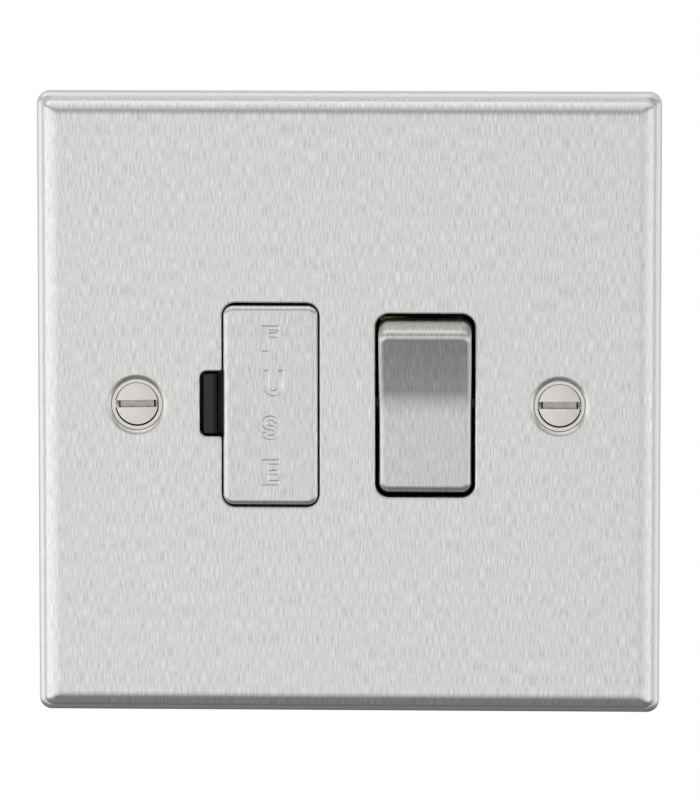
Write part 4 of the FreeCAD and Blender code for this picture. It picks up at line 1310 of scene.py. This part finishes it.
class SPUR_OT_stage(bpy.types.Operator):
    """Adds the camera, the soft studio light and the pale floor"""

    bl_idname = "spur.stage"
    bl_label = "Stage"

    def execute(self, context):
        stage = context.scene.spur_stage
        plate = context.scene.spur_plate
        self.aim_camera(context, stage, plate)
        self.light(context)
        self.lay_floor(context, stage)
        context.scene.view_settings.view_transform = "Standard"
        return {"FINISHED"}

    def aim_camera(self, context, stage, plate):
        """Sets the camera on a ball about its target, which lies off the plate's middle, and looks back."""
        az, el = stage.azimuth, stage.elevation
        out = Vector((sin(az) * cos(el), -cos(az) * cos(el), sin(el)))
        right = Vector((cos(az), sin(az), 0.0))
        up = out.cross(right)
        target = Vector((0.0, -plate.proud, 0.0)) + right * stage.aim_right + up * stage.aim_up
        data = bpy.data.cameras.new("camera")
        data.lens = stage.lens
        data.sensor_width = 36.0
        data.clip_start = 0.01
        data.clip_end = 20.0
        camera = bpy.data.objects.new("camera", data)
        turn = Matrix((right, up, out)).transposed().to_4x4()
        camera.matrix_world = Matrix.Translation(target + out * stage.distance) @ turn
        context.scene.collection.objects.link(camera)
        context.scene.camera = camera

    def light(self, context):
        """Soft light from a surround whose level follows height and side, with a pale backdrop behind."""
        world = bpy.data.worlds.new("studio")
        world.use_nodes = True
        world.node_tree.nodes.clear()
        w = Tree(world.node_tree)
        part = w.node("ShaderNodeSeparateXYZ", [("Vector", w.node("ShaderNodeTexCoord"))]).node.outputs
        levels = [(0, w.ramp(part["Z"], SKY)), (1, w.ramp(part["X"], SIDES))]
        level = w.node("ShaderNodeVectorMath", levels, operation="MULTIPLY")
        studio = w.node("ShaderNodeBackground", [("Color", level), ("Strength", 4.0)])
        pale = w.node("ShaderNodeBackground", [("Color", w.ramp(part["Z"], BACKDROP)), ("Strength", 2.0)])
        white = w.node("ShaderNodeBackground", [("Color", (1.0, 1.0, 1.0, 1.0)), ("Strength", 1.0)])
        path = w.node("ShaderNodeLightPath").node.outputs
        rays = [(0, path["Is Glossy Ray"]), (1, path["Is Transmission Ray"])]
        shiny = w.node("ShaderNodeMath", rays, operation="MAXIMUM")
        behind = w.node("ShaderNodeMapRange", [("Value", part["Y"]), ("From Min", 0.25), ("From Max", 0.45)])
        dressed = w.node("ShaderNodeMixShader", [(0, w.times(shiny, behind)), (1, studio), (2, pale)])
        whole = w.node("ShaderNodeMixShader", [(0, path["Is Camera Ray"]), (1, dressed), (2, white)])
        surface = w.tree.nodes.new("ShaderNodeOutputWorld")
        w.tree.links.new(whole, surface.inputs[0])
        context.scene.world = world

    def lay_floor(self, context, stage):
        """A pale plane behind and below, white to the camera."""
        half, near, far = stage.floor_width / 2, stage.floor_near, stage.floor_far
        corners = [(-half, near), (half, near), (half, far), (-half, far)]
        mesh = bpy.data.meshes.new("floor")
        mesh.from_pydata([(x, y, stage.floor) for x, y in corners], [], [(0, 1, 2, 3)])
        floor = bpy.data.objects.new("floor", mesh)
        context.scene.collection.objects.link(floor)
        paint = Nodes("pale_floor")
        drift = paint.noise(6.0)
        paint.link("Base Color", paint.scaled((0.9, 0.9, 0.9), paint.between(drift, 0.98, 1.0)))
        paint.set(Roughness=0.9)
        glow = paint.node("ShaderNodeEmission", [("Color", (1.0, 1.0, 1.0, 1.0)), ("Strength", 1.0)])
        seen = paint.node("ShaderNodeLightPath").node.outputs["Is Camera Ray"]
        mix = paint.node("ShaderNodeMixShader", [(0, seen), (1, paint.shader.outputs[0]), (2, glow)])
        paint.tree.links.new(mix, paint.tree.nodes["Material Output"].inputs[0])
        mesh.materials.append(paint.made)


class SPUR_PT_panel(bpy.types.Panel):
    """Lists the steps that dress the unit"""

    bl_idname = "SPUR_PT_panel"
    bl_label = "Fused spur unit"
    bl_space_type = "VIEW_3D"
    bl_region_type = "UI"
    bl_category = "Spur unit"

    def draw(self, context):
        for step in STEPS:
            self.layout.operator(step.bl_idname)


STEPS = (
    SPUR_OT_front_plate,
    SPUR_OT_fuse_cap,
    SPUR_OT_rocker_cap,
    SPUR_OT_fixing_screws,
    SPUR_OT_small_screws,
    SPUR_OT_cartridge_fuse,
    SPUR_OT_springs,
    SPUR_OT_finishes,
    SPUR_OT_stage,
)


def register():
    """Registers the settings, the steps and the panel."""
    for name, group in GROUPS.items():
        bpy.utils.register_class(group)
        setattr(bpy.types.Scene, name, PointerProperty(type=group))
    for step in STEPS:
        bpy.utils.register_class(step)
    bpy.utils.register_class(SPUR_PT_panel)


def unregister():
    """Takes them out again."""
    bpy.utils.unregister_class(SPUR_PT_panel)
    for step in reversed(STEPS):
        bpy.utils.unregister_class(step)
    for name, group in reversed(list(GROUPS.items())):
        delattr(bpy.types.Scene, name)
        bpy.utils.unregister_class(group)


def main():
    """Dresses the unit step by step, and writes how large it is without and with its pieces."""
    register()
    bpy.ops.spur.front_plate()
    bpy.ops.spur.fuse_cap()
    bpy.ops.spur.rocker_cap()
    bpy.ops.spur.fixing_screws()
    bpy.ops.spur.small_screws()
    bpy.ops.spur.cartridge_fuse()
    bpy.ops.spur.springs()
    bpy.ops.spur.finishes()
    bpy.ops.spur.stage()


if __name__ == "__main__":
    main()
